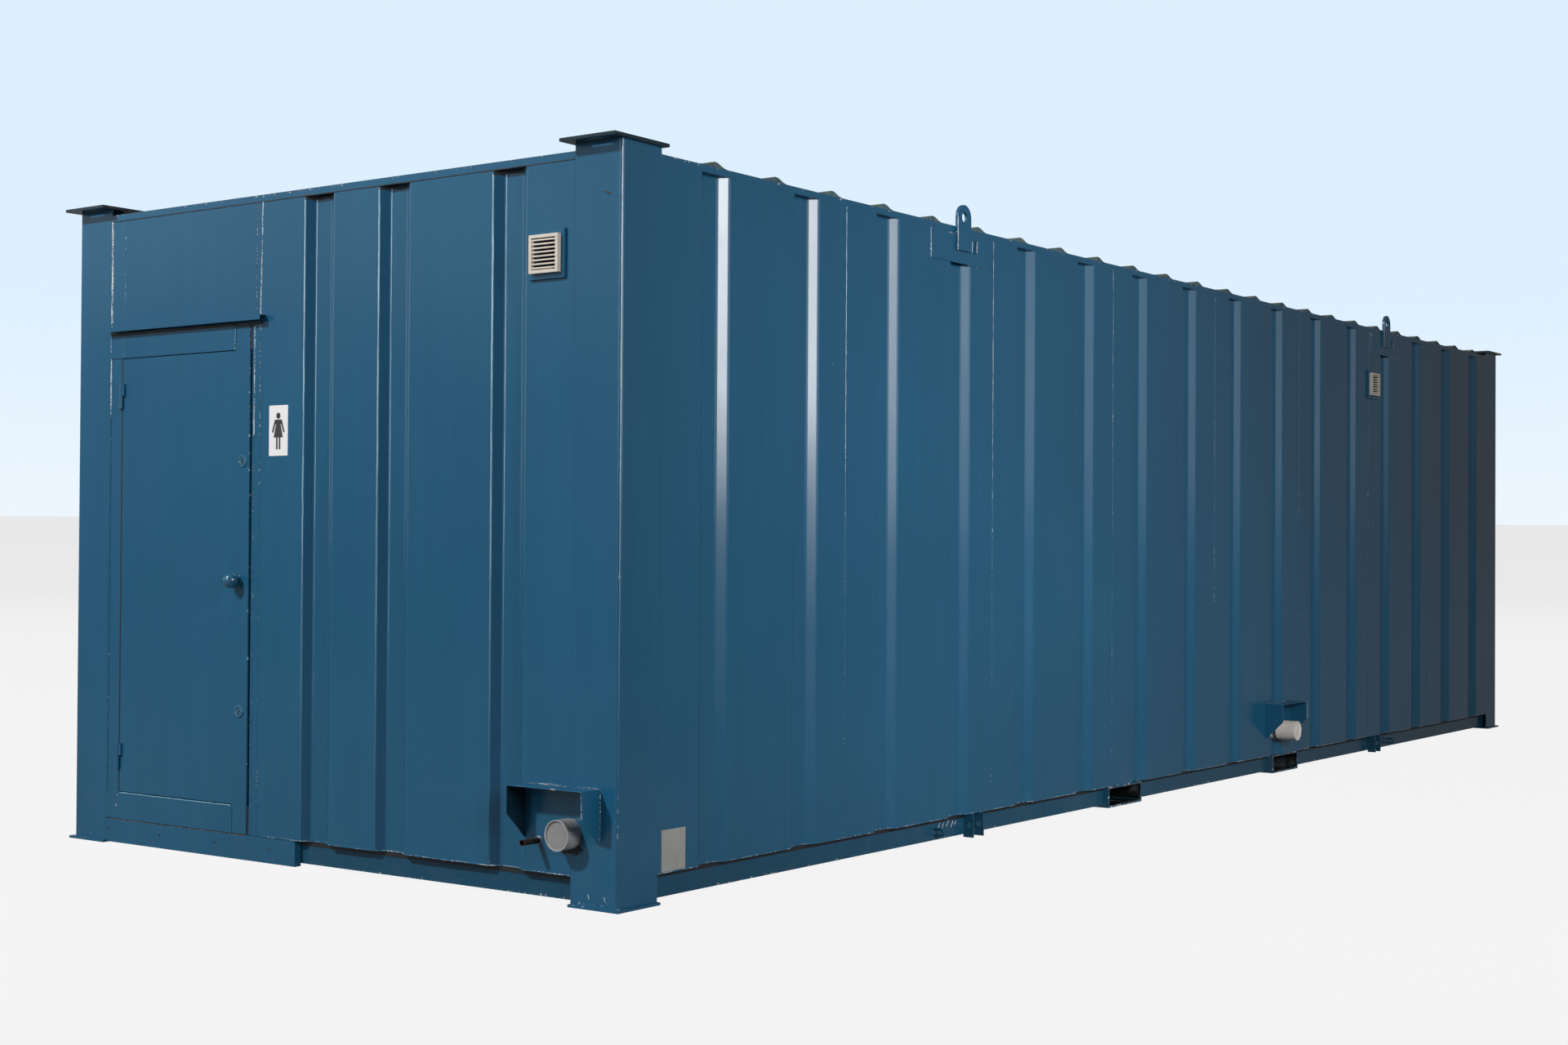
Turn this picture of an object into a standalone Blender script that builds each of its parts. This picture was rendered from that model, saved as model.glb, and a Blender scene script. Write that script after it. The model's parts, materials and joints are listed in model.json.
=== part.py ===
"""Toilet block: a 32 ft by 10 ft steel site cabin with a women's and a men's room.

Local frame: x runs from the near end wall to the far one, y from the front wall
to the back one, z up from the ground. One empty carries it to the model's origin.
"""
import math

import bmesh
import bpy
from mathutils import Matrix, Vector

# Driving dimensions, in metres
GAP = 0.0003                 # clearance between pieces that touch
LENGTH = 9.75
WIDTH = 3.05
POST_TOP = 2.684

# Corner posts, caps and feet
COLUMN = 0.090
COLUMN_SINK = 0.001
COLUMN_WALL = 0.005
COVER_LEG = 0.216
COVER_PLATE = 0.005
COVER_RADIUS = 0.014
CAP_THICK = 0.012
CAP_OUT_END = 0.062
CAP_OUT_SIDE = 0.018
CAP_INNER = 0.022
CAP_SLOT_LENGTH = 0.100
CAP_SLOT_WIDTH = 0.024
FOOT_THICK = 0.010
FOOT_OUT = 0.016
FOOT_DRAIN = 0.012

# Wall cladding
SHEET = 0.002
GROOVE_DEPTH = 0.030
GROOVE_OPEN = 0.165
GROOVE_WEB = 0.040
GROOVE_PITCH = 0.5791
SIDE_GROOVES = 16
END_GROOVES = (1.541, 1.125, 0.532)
CLAD_BOTTOM = 0.105

# Roof
RAIL_BAND = 0.025
RAIL_DROP = 0.027            # roof edge below the top of the posts
RAIL_DEEP = 0.140
RAIL_WALL = 0.003
PURLIN_TALL = 0.060
PURLIN_WIDE = 0.040
PURLIN_PITCH = 0.900
HUMP_PITCH = 0.378
HUMP_WIDE = 0.145
HUMP_TALL = 0.020
HUMP_STEPS = 6
ROOF_INSET = 0.002

# Base frame and fork pockets
FRAME_BOTTOM = 0.016
FRAME_TALL = 0.150
FRAME_FLANGE = 0.100
FRAME_PLATE = 0.006
JOIST_TALL = 0.080
JOIST_WIDE = 0.040
JOIST_PITCH = 0.610
POCKET_OFFSET = 1.010
POCKET_WIDE = 0.360
POCKET_BOTTOM = 0.003
POCKET_WALL = 0.010
DECK_THICK = 0.018

# Lifting lugs and lashing points
LUG_OFFSET = 2.600
LUG_WIDE = 0.112
LUG_THICK = 0.012
LUG_RISE = 0.098
LUG_ROOT = 0.102
LUG_HOLE = 0.022
LUG_HOLE_DROP = 0.055
PATCH_WIDE = 0.500
PATCH_DROP = 0.157
PATCH_TALL = 0.130
PATCH_PLATE = 0.003
TAB_WIDE = 0.040
TAB_TALL = 0.055
TAB_OUT = 0.016
FIN_OFFSETS = (2.499, 2.414)
FIN_REACH = 0.014
FIN_PLATE = 0.008
FIN_HOLE = 0.013
RING_OFFSET = 2.745
RING_BAR = 0.006
RING_TALL = 0.038
RING_REACH = 0.050
RING_Z = 0.050

# Linings and room divider
LINING = 0.080
CEILING_DROP = 0.207
CEILING_THICK = 0.040
DIVIDER_X = 4.200
DIVIDER_THICK = 0.050

# Entrance doors
DOOR_HINGE_Y = 2.7485
DOOR_EDGE_Y = 1.935
DOOR_PLATE_Y = 2.020
DOOR_Z0 = 0.222
DOOR_HEAD = 0.407
DOOR_THICK = 0.045
DOOR_SKIN = 0.003
DOOR_GAP = 0.003
SET_IN = 0.0010              # a welded plate's edge, set in from the one beside it
FRAME_RIGHT_Y = 1.862
STOP_OVERLAP = 0.012
LATCH_GAP = 0.012
STRIP_SHORT = 0.005
DRIP_RISE = 0.114
DRIP_TALL = 0.020
DRIP_REACH = 0.035
DRIP_LAP = 0.004
DRIP_END_Y = 1.842
THRESHOLD_END_Y = 1.650
THRESHOLD_Z0 = 0.004
HINGE_DROP = 0.157
HINGE_LIFT = 0.150
HINGE_TALL = 0.105
HINGE_RADIUS = 0.0075
HINGE_PIN = 0.004
HINGE_REACH = 0.0085
HINGE_FLAP = 0.0025
KNOB_Y = 2.000
KNOB_Z = 1.120
KNOB_RADIUS = 0.031
KNOB_REACH = 0.068
KNOB_SHANK = 0.010
KNOB_ROSE = 0.005
ROSE_SHARE = 0.8
LATCH_TALL = 0.024
LATCH_THICK = 0.012
BOLT_DROP = 0.445
BOLT_LIFT = 0.373
BOLT_TALL = 0.028
BOLT_THICK = 0.014
BOLT_LONG = 0.060
KEEP_DEPTH = 0.024

# Vents
VENT_DROP = 0.354
VENT_END_Y = 0.340
VENT_SIDE_X = 7.240
VENT_COLLAR = (0.166, 0.176)
VENT_GRILLE = 0.138
VENT_OUT = 0.012
GRILLE_DEEP = 0.018
GRILLE_FRAME = 0.012
LOUVRES = 8
DUCT_WALL = 0.002

# Soil pipes, hoods and water pipe
PIPE_RADIUS = 0.055
PIPE_WALL = 0.004
END_PIPE_Y = 0.222
END_PIPE_Z = 0.255
END_PIPE_OUT = 0.070
SIDE_PIPE_X = 5.780
SIDE_PIPE_Z = 0.245
SIDE_PIPE_OUT = 0.115
PLUG_THICK = 0.010
PLUG_DEPTH = 0.006
HOOD_WIDE = 0.353
HOOD_DEEP = 0.100
HOOD_TALL = 0.198
HOOD_EDGE = 0.100
HOOD_PLATE = 0.004
END_HOOD_Y = 0.2585
END_HOOD_TOP = 0.421
SIDE_HOOD_TOP = 0.402
WATER_RADIUS = 0.011
WATER_WALL = 0.0012
WATER_Y = 0.366
WATER_Z = 0.220
WATER_OUT = 0.090
WATER_IN = 0.050

# Cubicles, one in each room
CUBICLE_X = (0.640, 5.780)
CUBICLE_WIDE = 0.900
CUBICLE_FRONT_Y = 1.500
PANEL = 0.018
PANEL_DROP = 0.450
HEAD_TALL = 0.060
DOOR_LIFT = 0.120
CUBICLE_DOOR = 0.620
CUBICLE_GAP = 0.004
PIVOT_INSET = 0.014
PIVOT_RADIUS = 0.006

# Toilets
PAN_FRONT = 0.520
PAN_BACK_Y = 0.330
PAN_WIDE = 0.360
PAN_TALL = 0.400
PAN_RIM = 0.040
PAN_FOOT_SHARE = 0.7
PAN_SHIFT = 0.050
BOWL_SHARE = 0.7
SPIGOT_RADIUS = 0.045
SEAT_THICK = 0.018
SEAT_RIM = 0.055
SEAT_ROD = 0.005
SEAT_ROD_LONG = 0.220
SEAT_HINGE_BACK = 0.018
SEAT_EAR = 0.012
CISTERN_WIDE = 0.380
CISTERN_DEEP = 0.150
CISTERN_TALL = 0.320
CISTERN_Z = 0.780
FLUSH_RADIUS = 0.016
LEVER_LONG = 0.080
LEVER_BAR = 0.010
LEVER_SHANK = 0.006
LEVER_DROP = 0.050

# Wash basins
BASIN_X = (3.100, 4.750)
BASIN_WIDE = 0.500
BASIN_DEEP = 0.400
BASIN_TALL = 0.160
BASIN_TOP = 1.020
BASIN_WALL = 0.035
BASIN_SHELF = 0.090
BASIN_SHARE = 0.9
TAP_RADIUS = 0.012
TAP_TALL = 0.090
TAP_REACH = 0.110
TAP_HANDLE = 0.060

# Derived places
RAIL_TOP = POST_TOP - RAIL_DROP
CEILING_Z = RAIL_TOP - CEILING_DROP
LUG_TOP = RAIL_TOP + LUG_RISE
LUG_BOTTOM = RAIL_TOP - LUG_ROOT
PATCH_BOTTOM = RAIL_TOP - PATCH_DROP
PATCH_TOP = PATCH_BOTTOM + PATCH_TALL
DOOR_Z1 = CEILING_Z - DOOR_HEAD
DRIP_Z = DOOR_Z1 + DRIP_RISE
STRIP_Z1 = DRIP_Z - STRIP_SHORT
HINGE_Z = (DOOR_Z1 - HINGE_DROP, DOOR_Z0 + HINGE_LIFT)
BOLT_Z = (DOOR_Z1 - BOLT_DROP, DOOR_Z0 + BOLT_LIFT)
VENT_Z = RAIL_TOP - VENT_DROP
PANEL_TOP = CEILING_Z - PANEL_DROP
LINING_OUT = GROOVE_DEPTH + SHEET + GAP
LINING_IN = LINING_OUT + LINING
COLUMN_OUT = COVER_PLATE - COLUMN_SINK
COLUMN_IN = COLUMN_OUT + COLUMN
COVER_END = COVER_LEG + GAP
FRAME_TOP = FRAME_BOTTOM + FRAME_TALL
FLOOR_Z = FRAME_TOP + GAP + DECK_THICK
RAIL_Z = RAIL_TOP - RAIL_BAND
CLAD_TOP = RAIL_Z - GAP
ROOM_FLOOR = FLOOR_Z + GAP
SHIFT_X = -(LENGTH + max(CAP_OUT_END, KNOB_REACH) - HOOD_DEEP) / 2
SHIFT_Y = -(WIDTH + GAP + PATCH_PLATE + max(TAB_OUT, LUG_THICK) - max(SIDE_PIPE_OUT, HOOD_DEEP)) / 2
MIDDLE = LENGTH / 2
INWARD = 1                   # Solidify side that thickens the front sheets inwards
X_AXIS = Vector((1, 0, 0))
Y_AXIS = Vector((0, 1, 0))
Z_AXIS = Vector((0, 0, 1))

for old in list(bpy.data.objects):
    bpy.data.objects.remove(old, do_unlink=True)

parts = bpy.data.collections.new("toilet_block")
cutters = bpy.data.collections.new("cutters")
bpy.context.scene.collection.children.link(parts)
bpy.context.scene.collection.children.link(cutters)
block = bpy.data.objects.new("block_frame", None)
block.location = (SHIFT_X, SHIFT_Y, 0)
parts.objects.link(block)


# Materials
def material(name, colour, roughness, metallic=0.0):
    made = bpy.data.materials.new(name)
    made.use_nodes = True
    shader = made.node_tree.nodes["Principled BSDF"]
    shader.inputs["Base Color"].default_value = (*colour, 1)
    shader.inputs["Roughness"].default_value = roughness
    shader.inputs["Metallic"].default_value = metallic
    return made


BLUE = (0.030, 0.105, 0.175)
FINISHES = {
    "paint": (BLUE, 0.38, 0.0),
    "dark_paint": ((0.022, 0.070, 0.110), 0.5, 0.0),
    "galvanised": ((0.45, 0.46, 0.47), 0.45, 0.9),
    "cream_plastic": ((0.62, 0.58, 0.50), 0.5, 0.0),
    "grey_plastic": ((0.36, 0.37, 0.38), 0.5, 0.0),
    "copper": ((0.10, 0.06, 0.05), 0.5, 0.6),
    "white_board": ((0.72, 0.72, 0.70), 0.5, 0.0),
    "vinyl": ((0.20, 0.21, 0.22), 0.6, 0.0),
    "laminate": ((0.30, 0.42, 0.55), 0.4, 0.0),
    "china": ((0.80, 0.80, 0.79), 0.12, 0.0),
    "chrome": ((0.60, 0.61, 0.62), 0.15, 1.0),
    "seat_plastic": ((0.03, 0.03, 0.03), 0.35, 0.0),
}


# Helpers that make and place pieces
def add_object(name, mesh, finish=None, at=(0, 0, 0)):
    made = bpy.data.objects.new(name, mesh)
    made.location = at
    made.parent = block
    if finish is None:
        cutters.objects.link(made)
        made.hide_render = True
        made.display_type = "WIRE"
        return made
    parts.objects.link(made)
    colour, roughness, metallic = FINISHES[finish]
    made.data.materials.append(material(name, colour, roughness, metallic))
    return made


def from_bmesh(name, bm, finish=None, at=(0, 0, 0)):
    mesh = bpy.data.meshes.new(name)
    bmesh.ops.recalc_face_normals(bm, faces=bm.faces)
    bm.to_mesh(mesh)
    bm.free()
    return add_object(name, mesh, finish, at)


def add_box(bm, low, high):
    low, high = Vector(low), Vector(high)
    place = Matrix.Translation((low + high) / 2) @ Matrix.Diagonal((*(high - low), 1))
    bmesh.ops.create_cube(bm, size=1, matrix=place)


def add_rod(bm, start, end, radius, sides=16):
    start, end = Vector(start), Vector(end)
    run = end - start
    turn = Z_AXIS.rotation_difference(run).to_matrix().to_4x4()
    place = Matrix.Translation((start + end) / 2) @ turn
    bmesh.ops.create_cone(bm, cap_ends=True, segments=sides, radius1=radius, radius2=radius,
                          depth=run.length, matrix=place)


def boxes(name, spans, finish=None, at=(0, 0, 0)):
    bm = bmesh.new()
    for low, high in spans:
        add_box(bm, low, high)
    return from_bmesh(name, bm, finish, at)


def rods(name, runs, finish=None, at=(0, 0, 0), sides=16):
    bm = bmesh.new()
    for start, end, radius in runs:
        add_rod(bm, start, end, radius, sides)
    return from_bmesh(name, bm, finish, at)


def boolean(target, other, operation="DIFFERENCE"):
    step = target.modifiers.new(other.name, "BOOLEAN")
    step.object = other
    step.operation = operation
    step.solver = "EXACT"


def evaluated_mesh(source):
    bpy.context.view_layer.update()
    graph = bpy.context.evaluated_depsgraph_get()
    return bpy.data.meshes.new_from_object(source.evaluated_get(graph))


def outline(name, loops, thickness, finish=None, plane="XY", at=(0, 0, 0)):
    """A flat plate from closed loops, standing on the named plane at its lower face."""
    curve = bpy.data.curves.new(name, "CURVE")
    curve.dimensions = "2D"
    curve.fill_mode = "BOTH"
    curve.extrude = thickness / 2
    for loop in loops:
        spline = curve.splines.new("POLY")
        spline.points.add(len(loop) - 1)
        for point, (u, v) in zip(spline.points, loop):
            point.co = (u, v, 0, 1)
        spline.use_cyclic_u = True
    guide = bpy.data.objects.new(name + "_curve", curve)
    cutters.objects.link(guide)
    mesh = evaluated_mesh(guide)
    bpy.data.objects.remove(guide)
    turns = {"XY": Matrix.Identity(4),
             "YZ": Matrix(((0, 0, 1, 0), (1, 0, 0, 0), (0, 1, 0, 0), (0, 0, 0, 1))),
             "XZ": Matrix(((1, 0, 0, 0), (0, 0, 1, 0), (0, 1, 0, 0), (0, 0, 0, 1)))}
    bm = bmesh.new()
    bm.from_mesh(mesh)
    bpy.data.meshes.remove(mesh)
    bmesh.ops.remove_doubles(bm, verts=bm.verts, dist=0.00001)
    bmesh.ops.translate(bm, verts=bm.verts, vec=(0, 0, thickness / 2))
    bmesh.ops.transform(bm, verts=bm.verts, matrix=turns[plane])
    return from_bmesh(name, bm, finish, at)


def folded(name, profile, start, end, thickness, finish=None, offset=-1):
    """A sheet: a run of profile points, drawn from start's level to end's, then given its wall."""
    bm = bmesh.new()
    verts = [bm.verts.new(point) for point in profile]
    edges = [bm.edges.new(pair) for pair in zip(verts, verts[1:])]
    bmesh.ops.translate(bm, verts=bm.verts, vec=start)
    grown = bmesh.ops.extrude_edge_only(bm, edges=edges)
    moved = [item for item in grown["geom"] if isinstance(item, bmesh.types.BMVert)]
    bmesh.ops.translate(bm, verts=moved, vec=Vector(end) - Vector(start))
    mesh = bpy.data.meshes.new(name)
    bm.to_mesh(mesh)
    bm.free()
    made = add_object(name, mesh, finish)
    wall = made.modifiers.new("wall", "SOLIDIFY")
    wall.thickness = thickness
    wall.offset = offset
    wall.use_even_offset = True
    return made


def welded(target, *others):
    """One body: the target with the others welded on. They become cutter objects."""
    for other in others:
        boolean(target, other, "UNION")
    return target


def mirrored(source, name, finish):
    """The same piece at the other end, left and right swapped about the block's middle."""
    mesh = evaluated_mesh(source)
    mesh.transform(Matrix.Diagonal((-1, 1, 1, 1)))
    mesh.flip_normals()
    mesh.materials.clear()
    at = source.location
    return add_object(name, mesh, finish, (LENGTH - at.x, at.y, at.z))


def arc(middle, radius, first, last, steps):
    points = []
    for step in range(steps + 1):
        angle = math.radians(first + (last - first) * step / steps)
        points.append((middle[0] + radius * math.cos(angle), middle[1] + radius * math.sin(angle)))
    return points


def square(low_u, low_v, high_u, high_v):
    return [(low_u, low_v), (high_u, low_v), (high_u, high_v), (low_u, high_v)]


def corner_signs():
    return [(end, side) for end in (0, 1) for side in (0, 1)]


def at_corner(end, side, u, v):
    """A point given from a corner's outer edges, u along the block and v across it."""
    return (LENGTH - u if end else u, WIDTH - v if side else v)


def corner_span(end, side, low_u, low_v, high_u, high_v):
    first = at_corner(end, side, low_u, low_v)
    second = at_corner(end, side, high_u, high_v)
    return (min(first[0], second[0]), min(first[1], second[1]),
            max(first[0], second[0]), max(first[1], second[1]))


# Corner posts: a square column inside a folded cover, with a foot and a cap plate welded on
post_low = FOOT_THICK - COLUMN_SINK
post_high = POST_TOP + COLUMN_SINK
post_names = {(0, 0): "corner_post_front_near", (0, 1): "corner_post_back_near",
              (1, 0): "corner_post_front_far", (1, 1): "corner_post_back_far"}
posts = {}
for end, side in corner_signs():
    bend = arc((COVER_RADIUS, COVER_RADIUS), COVER_RADIUS, 270, 180, 5)
    inside = arc((COVER_RADIUS, COVER_RADIUS), COVER_RADIUS - COVER_PLATE, 180, 270, 5)
    leg = [(COVER_LEG, 0), *bend, (0, COVER_LEG), (COVER_PLATE, COVER_LEG), *inside,
           (COVER_LEG, COVER_PLATE)]
    leg = [at_corner(end, side, u, v) for u, v in leg]
    post = outline(post_names[end, side], [leg], post_high - post_low, "paint", "XY", (0, 0, post_low))
    outer = corner_span(end, side, COLUMN_OUT, COLUMN_OUT, COLUMN_IN, COLUMN_IN)
    inner = corner_span(end, side, COLUMN_OUT + COLUMN_WALL, COLUMN_OUT + COLUMN_WALL,
                        COLUMN_IN - COLUMN_WALL, COLUMN_IN - COLUMN_WALL)
    column = outline("column", [square(*outer), square(*inner)], post_high - post_low, None, "XY",
                     (0, 0, post_low))
    cap = corner_span(end, side, -CAP_OUT_END, -CAP_OUT_SIDE, COVER_LEG + CAP_INNER, COVER_LEG + CAP_INNER)
    slot_u = -CAP_OUT_END / 2 - CAP_SLOT_WIDTH / 2
    slot_v = (COVER_LEG - CAP_SLOT_LENGTH) / 2
    slot = corner_span(end, side, slot_u, slot_v, slot_u + CAP_SLOT_WIDTH, slot_v + CAP_SLOT_LENGTH)
    cap_plate = outline("cap", [square(*cap), square(*slot)], CAP_THICK, None, "XY", (0, 0, POST_TOP))
    foot = corner_span(end, side, -FOOT_OUT, -FOOT_OUT, COVER_LEG, COVER_LEG)
    middle = at_corner(end, side, (COLUMN_OUT + COLUMN_IN) / 2, (COLUMN_OUT + COLUMN_IN) / 2)
    drain = arc(middle, FOOT_DRAIN, 0, 330, 11)
    foot_plate = outline("foot", [square(*foot), drain], FOOT_THICK, None, "XY")
    posts[end, side] = welded(post, column, cap_plate, foot_plate)


# Base frame: channels round the edge, joists, lashing fins and rings, all welded, round two fork pockets
def channel(outer, facing):
    web = outer + facing * FRAME_PLATE
    lip = outer + facing * FRAME_FLANGE
    low, high = FRAME_BOTTOM, FRAME_TOP
    return [(outer, low), (lip, low), (lip, low + FRAME_PLATE), (web, low + FRAME_PLATE),
            (web, high - FRAME_PLATE), (lip, high - FRAME_PLATE), (lip, high), (outer, high)]


corner = COLUMN_IN + GAP
far_x = LENGTH - corner
far_y = WIDTH - corner
pocket_xs = (MIDDLE - POCKET_OFFSET, MIDDLE + POCKET_OFFSET)
pocket_top = CLAD_BOTTOM - GAP
base_frame = outline("base_frame", [channel(LINING_OUT, 1)], far_x - corner, "dark_paint", "YZ",
                     (corner, 0, 0))
rail_back = outline("rail_back", [channel(WIDTH - LINING_OUT, -1)], far_x - corner, None, "YZ",
                    (corner, 0, 0))
rail_near = outline("rail_near", [channel(LINING_OUT, 1)], far_y - corner, None, "XZ", (0, corner, 0))
rail_far = outline("rail_far", [channel(LENGTH - LINING_OUT, -1)], far_y - corner, None, "XZ",
                   (0, corner, 0))
joist_edge = LINING_OUT + FRAME_PLATE / 2
joist_count = int((LENGTH - 2 * joist_edge) / JOIST_PITCH)
joist_start = MIDDLE - (joist_count - 1) * JOIST_PITCH / 2
joist_spans = []
for index in range(joist_count):
    x = joist_start + index * JOIST_PITCH
    if min(abs(x - pocket) for pocket in pocket_xs) < (POCKET_WIDE + JOIST_WIDE) / 2 + GAP:
        continue
    if min(x, LENGTH - x) < LINING_OUT + FRAME_FLANGE + JOIST_WIDE:
        continue
    joist_spans.append(((x - JOIST_WIDE / 2, joist_edge, FRAME_TOP - FRAME_PLATE / 2 - JOIST_TALL),
                        (x + JOIST_WIDE / 2, WIDTH - joist_edge, FRAME_TOP - FRAME_PLATE / 2)))
joists = boxes("joists", joist_spans)
welded(base_frame, rail_back, rail_near, rail_far, joists)
pocket_cut = boxes("pocket_cut", [
    ((x - POCKET_WIDE / 2 - GAP, -GAP, POCKET_BOTTOM - GAP),
     (x + POCKET_WIDE / 2 + GAP, WIDTH + GAP, CLAD_BOTTOM)) for x in pocket_xs])
boolean(base_frame, pocket_cut)
for label, x in zip(("near", "far"), pocket_xs):
    outer = square(x - POCKET_WIDE / 2, POCKET_BOTTOM, x + POCKET_WIDE / 2, pocket_top)
    inner = square(x - POCKET_WIDE / 2 + POCKET_WALL, POCKET_BOTTOM + POCKET_WALL,
                   x + POCKET_WIDE / 2 - POCKET_WALL, pocket_top - POCKET_WALL)
    outline("fork_pocket_" + label, [outer, inner], WIDTH, "dark_paint", "XZ")
fin_z = (POCKET_BOTTOM, CLAD_BOTTOM - GAP)
for sign in (-1, 1):
    for offset in FIN_OFFSETS:
        x = MIDDLE + sign * offset
        for root_y, tip_y in ((LINING_OUT + FRAME_PLATE / 2, -FIN_REACH),
                              (WIDTH - LINING_OUT - FRAME_PLATE / 2, WIDTH + FIN_REACH)):
            low_y, high_y = min(root_y, tip_y), max(root_y, tip_y)
            hole_y = tip_y + (FIN_REACH + LINING_OUT) / 2 * (1 if tip_y < 0 else -1)
            hole = arc((hole_y, sum(fin_z) / 2), FIN_HOLE, 0, 330, 11)
            welded(base_frame, outline("fin", [square(low_y, fin_z[0], high_y, fin_z[1]), hole],
                                       FIN_PLATE, None, "YZ", (x - FIN_PLATE / 2, 0, 0)))
    x = MIDDLE + sign * RING_OFFSET
    for root_y, facing in ((LINING_OUT + FRAME_PLATE / 2, -1), (WIDTH - LINING_OUT - FRAME_PLATE / 2, 1)):
        bow_radius = RING_TALL / 2 - RING_BAR
        straight = RING_REACH + FRAME_PLATE / 2 - RING_BAR - bow_radius
        bow = arc((straight, 0), bow_radius, 90, -90, 8)
        route = [(0, bow_radius), *bow, (0, -bow_radius)]
        curve = bpy.data.curves.new("ring", "CURVE")
        curve.dimensions = "3D"
        curve.bevel_depth = RING_BAR
        curve.bevel_resolution = 2
        curve.use_fill_caps = True
        spline = curve.splines.new("POLY")
        spline.points.add(len(route) - 1)
        for point, (out, up) in zip(spline.points, route):
            point.co = (x, root_y + facing * out, RING_Z + up, 1)
        guide = bpy.data.objects.new("ring_curve", curve)
        cutters.objects.link(guide)
        bm = bmesh.new()
        bm.from_mesh(evaluated_mesh(guide))
        bmesh.ops.remove_doubles(bm, verts=bm.verts, dist=0.00001)
        bpy.data.objects.remove(guide)
        welded(base_frame, from_bmesh("ring", bm))


# Floor deck and ceiling, notched round the columns
def notched(edge, inner):
    loop = []
    for end, side in ((0, 0), (1, 0), (1, 1), (0, 1)):
        notch = [(edge, inner), (inner, inner), (inner, edge)]
        if end != side:
            notch.reverse()
        loop += [at_corner(end, side, u, v) for u, v in notch]
    return loop


floor_deck = outline("floor_deck", [notched(LINING_OUT, corner)], DECK_THICK, "vinyl", "XY",
                     (0, 0, FRAME_TOP + GAP))
room_loop = square(LINING_IN, LINING_IN, LENGTH - LINING_IN, WIDTH - LINING_IN)
lining_loop = square(LINING_OUT, LINING_OUT, LENGTH - LINING_OUT, WIDTH - LINING_OUT)
wall_lining = outline("wall_lining", [lining_loop, room_loop], CEILING_Z - GAP - ROOM_FLOOR,
                      "white_board", "XY", (0, 0, ROOM_FLOOR))
for end, side in corner_signs():
    column_room = [at_corner(end, side, u, v) for u, v in square(0, 0, corner, corner)]
    boolean(wall_lining, outline("column_room", [column_room], POST_TOP, None))
outline("ceiling_panel", [notched(LINING_OUT, corner)], CEILING_THICK, "white_board", "XY",
        (0, 0, CEILING_Z))
boxes("room_partition", [((DIVIDER_X, LINING_IN + GAP, ROOM_FLOOR),
                          (DIVIDER_X + DIVIDER_THICK, WIDTH - LINING_IN - GAP, CEILING_Z - GAP))],
      "white_board")


# Cladding: sheets pressed with grooves, cut for doors, vents and pipes
def groove(middle):
    half = GROOVE_OPEN / 2
    return [(middle - half, 0), (middle - half + GROOVE_WEB, GROOVE_DEPTH),
            (middle + half - GROOVE_WEB, GROOVE_DEPTH), (middle + half, 0)]


side_middles = [MIDDLE + (index - (SIDE_GROOVES - 1) / 2) * GROOVE_PITCH for index in range(SIDE_GROOVES)]
side_run = [(COVER_END, 0)]
for middle in side_middles:
    side_run += groove(middle)
side_run.append((LENGTH - COVER_END, 0))
end_run = [(COVER_END, 0)]
for middle in sorted(END_GROOVES):
    end_run += groove(middle)
end_run.append((WIDTH - COVER_END, 0))
clad_low = (0, 0, CLAD_BOTTOM)
clad_high = (0, 0, CLAD_TOP)
clad_front = folded("side_cladding_front", [(u, d, 0) for u, d in side_run], clad_low, clad_high, SHEET,
                    "paint", INWARD)
clad_back = folded("side_cladding_back", [(u, WIDTH - d, 0) for u, d in side_run], clad_low, clad_high,
                   SHEET, "paint", -INWARD)
clad_near = folded("end_cladding_near", [(d, u, 0) for u, d in end_run], clad_low, clad_high, SHEET,
                   "paint", -INWARD)


# Entrance frame: rebated ring, face plates, lower hinge halves with pins, and the drip bar
frame_left_y = WIDTH - COVER_END
frame_top = DRIP_Z
frame_low = CLAD_BOTTOM
opening_low = DOOR_EDGE_Y - LATCH_GAP
stop_x = DOOR_THICK + GAP * 2
hinge_x = -HINGE_REACH
ring_outer = square(FRAME_RIGHT_Y, frame_low, frame_left_y, frame_top)
stop_inner = square(DOOR_EDGE_Y + STOP_OVERLAP, DOOR_Z0 + STOP_OVERLAP,
                    DOOR_HINGE_Y - DOOR_GAP - STOP_OVERLAP, DOOR_Z1 - STOP_OVERLAP)
door_frame = outline("door_frame_near", [ring_outer, stop_inner], LINING_IN, "paint", "YZ")
rebate = boxes("rebate", [((-DOOR_THICK, opening_low, DOOR_Z0 - DOOR_GAP),
                           (stop_x, DOOR_HINGE_Y, DOOR_Z1 + DOOR_GAP))])
sill_room = boxes("sill_room", [((LINING_OUT - GAP, FRAME_RIGHT_Y - GAP, frame_low - GAP),
                                 (LINING_IN * 2, WIDTH, ROOM_FLOOR))])
door_room = boxes("door_room", [((-GROOVE_DEPTH, FRAME_RIGHT_Y - GAP, frame_low - GROOVE_DEPTH),
                                 (LINING_IN + GROOVE_DEPTH, WIDTH - COVER_END + GAP, frame_top + GAP))])
boolean(clad_near, door_room)
boolean(wall_lining, door_room)
plate_low_y = DOOR_PLATE_Y + DOOR_GAP
face_plates = boxes("face_plates", [
    ((-DOOR_SKIN - GAP, plate_low_y, DOOR_Z1 + DOOR_GAP + SET_IN),
     (SET_IN, frame_left_y - SET_IN, frame_top - SET_IN)),
    ((-DOOR_SKIN - GAP, plate_low_y, frame_low + SET_IN),
     (SET_IN, frame_left_y - SET_IN, DOOR_Z0 - DOOR_GAP - SET_IN))])
hinge_flaps = boxes("hinge_flaps", [
    ((hinge_x - HINGE_FLAP, DOOR_HINGE_Y + SET_IN, z - HINGE_TALL / 2 + SET_IN),
     (SET_IN, DOOR_HINGE_Y + HINGE_FLAP * 8, z - GAP - SET_IN)) for z in HINGE_Z])
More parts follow.
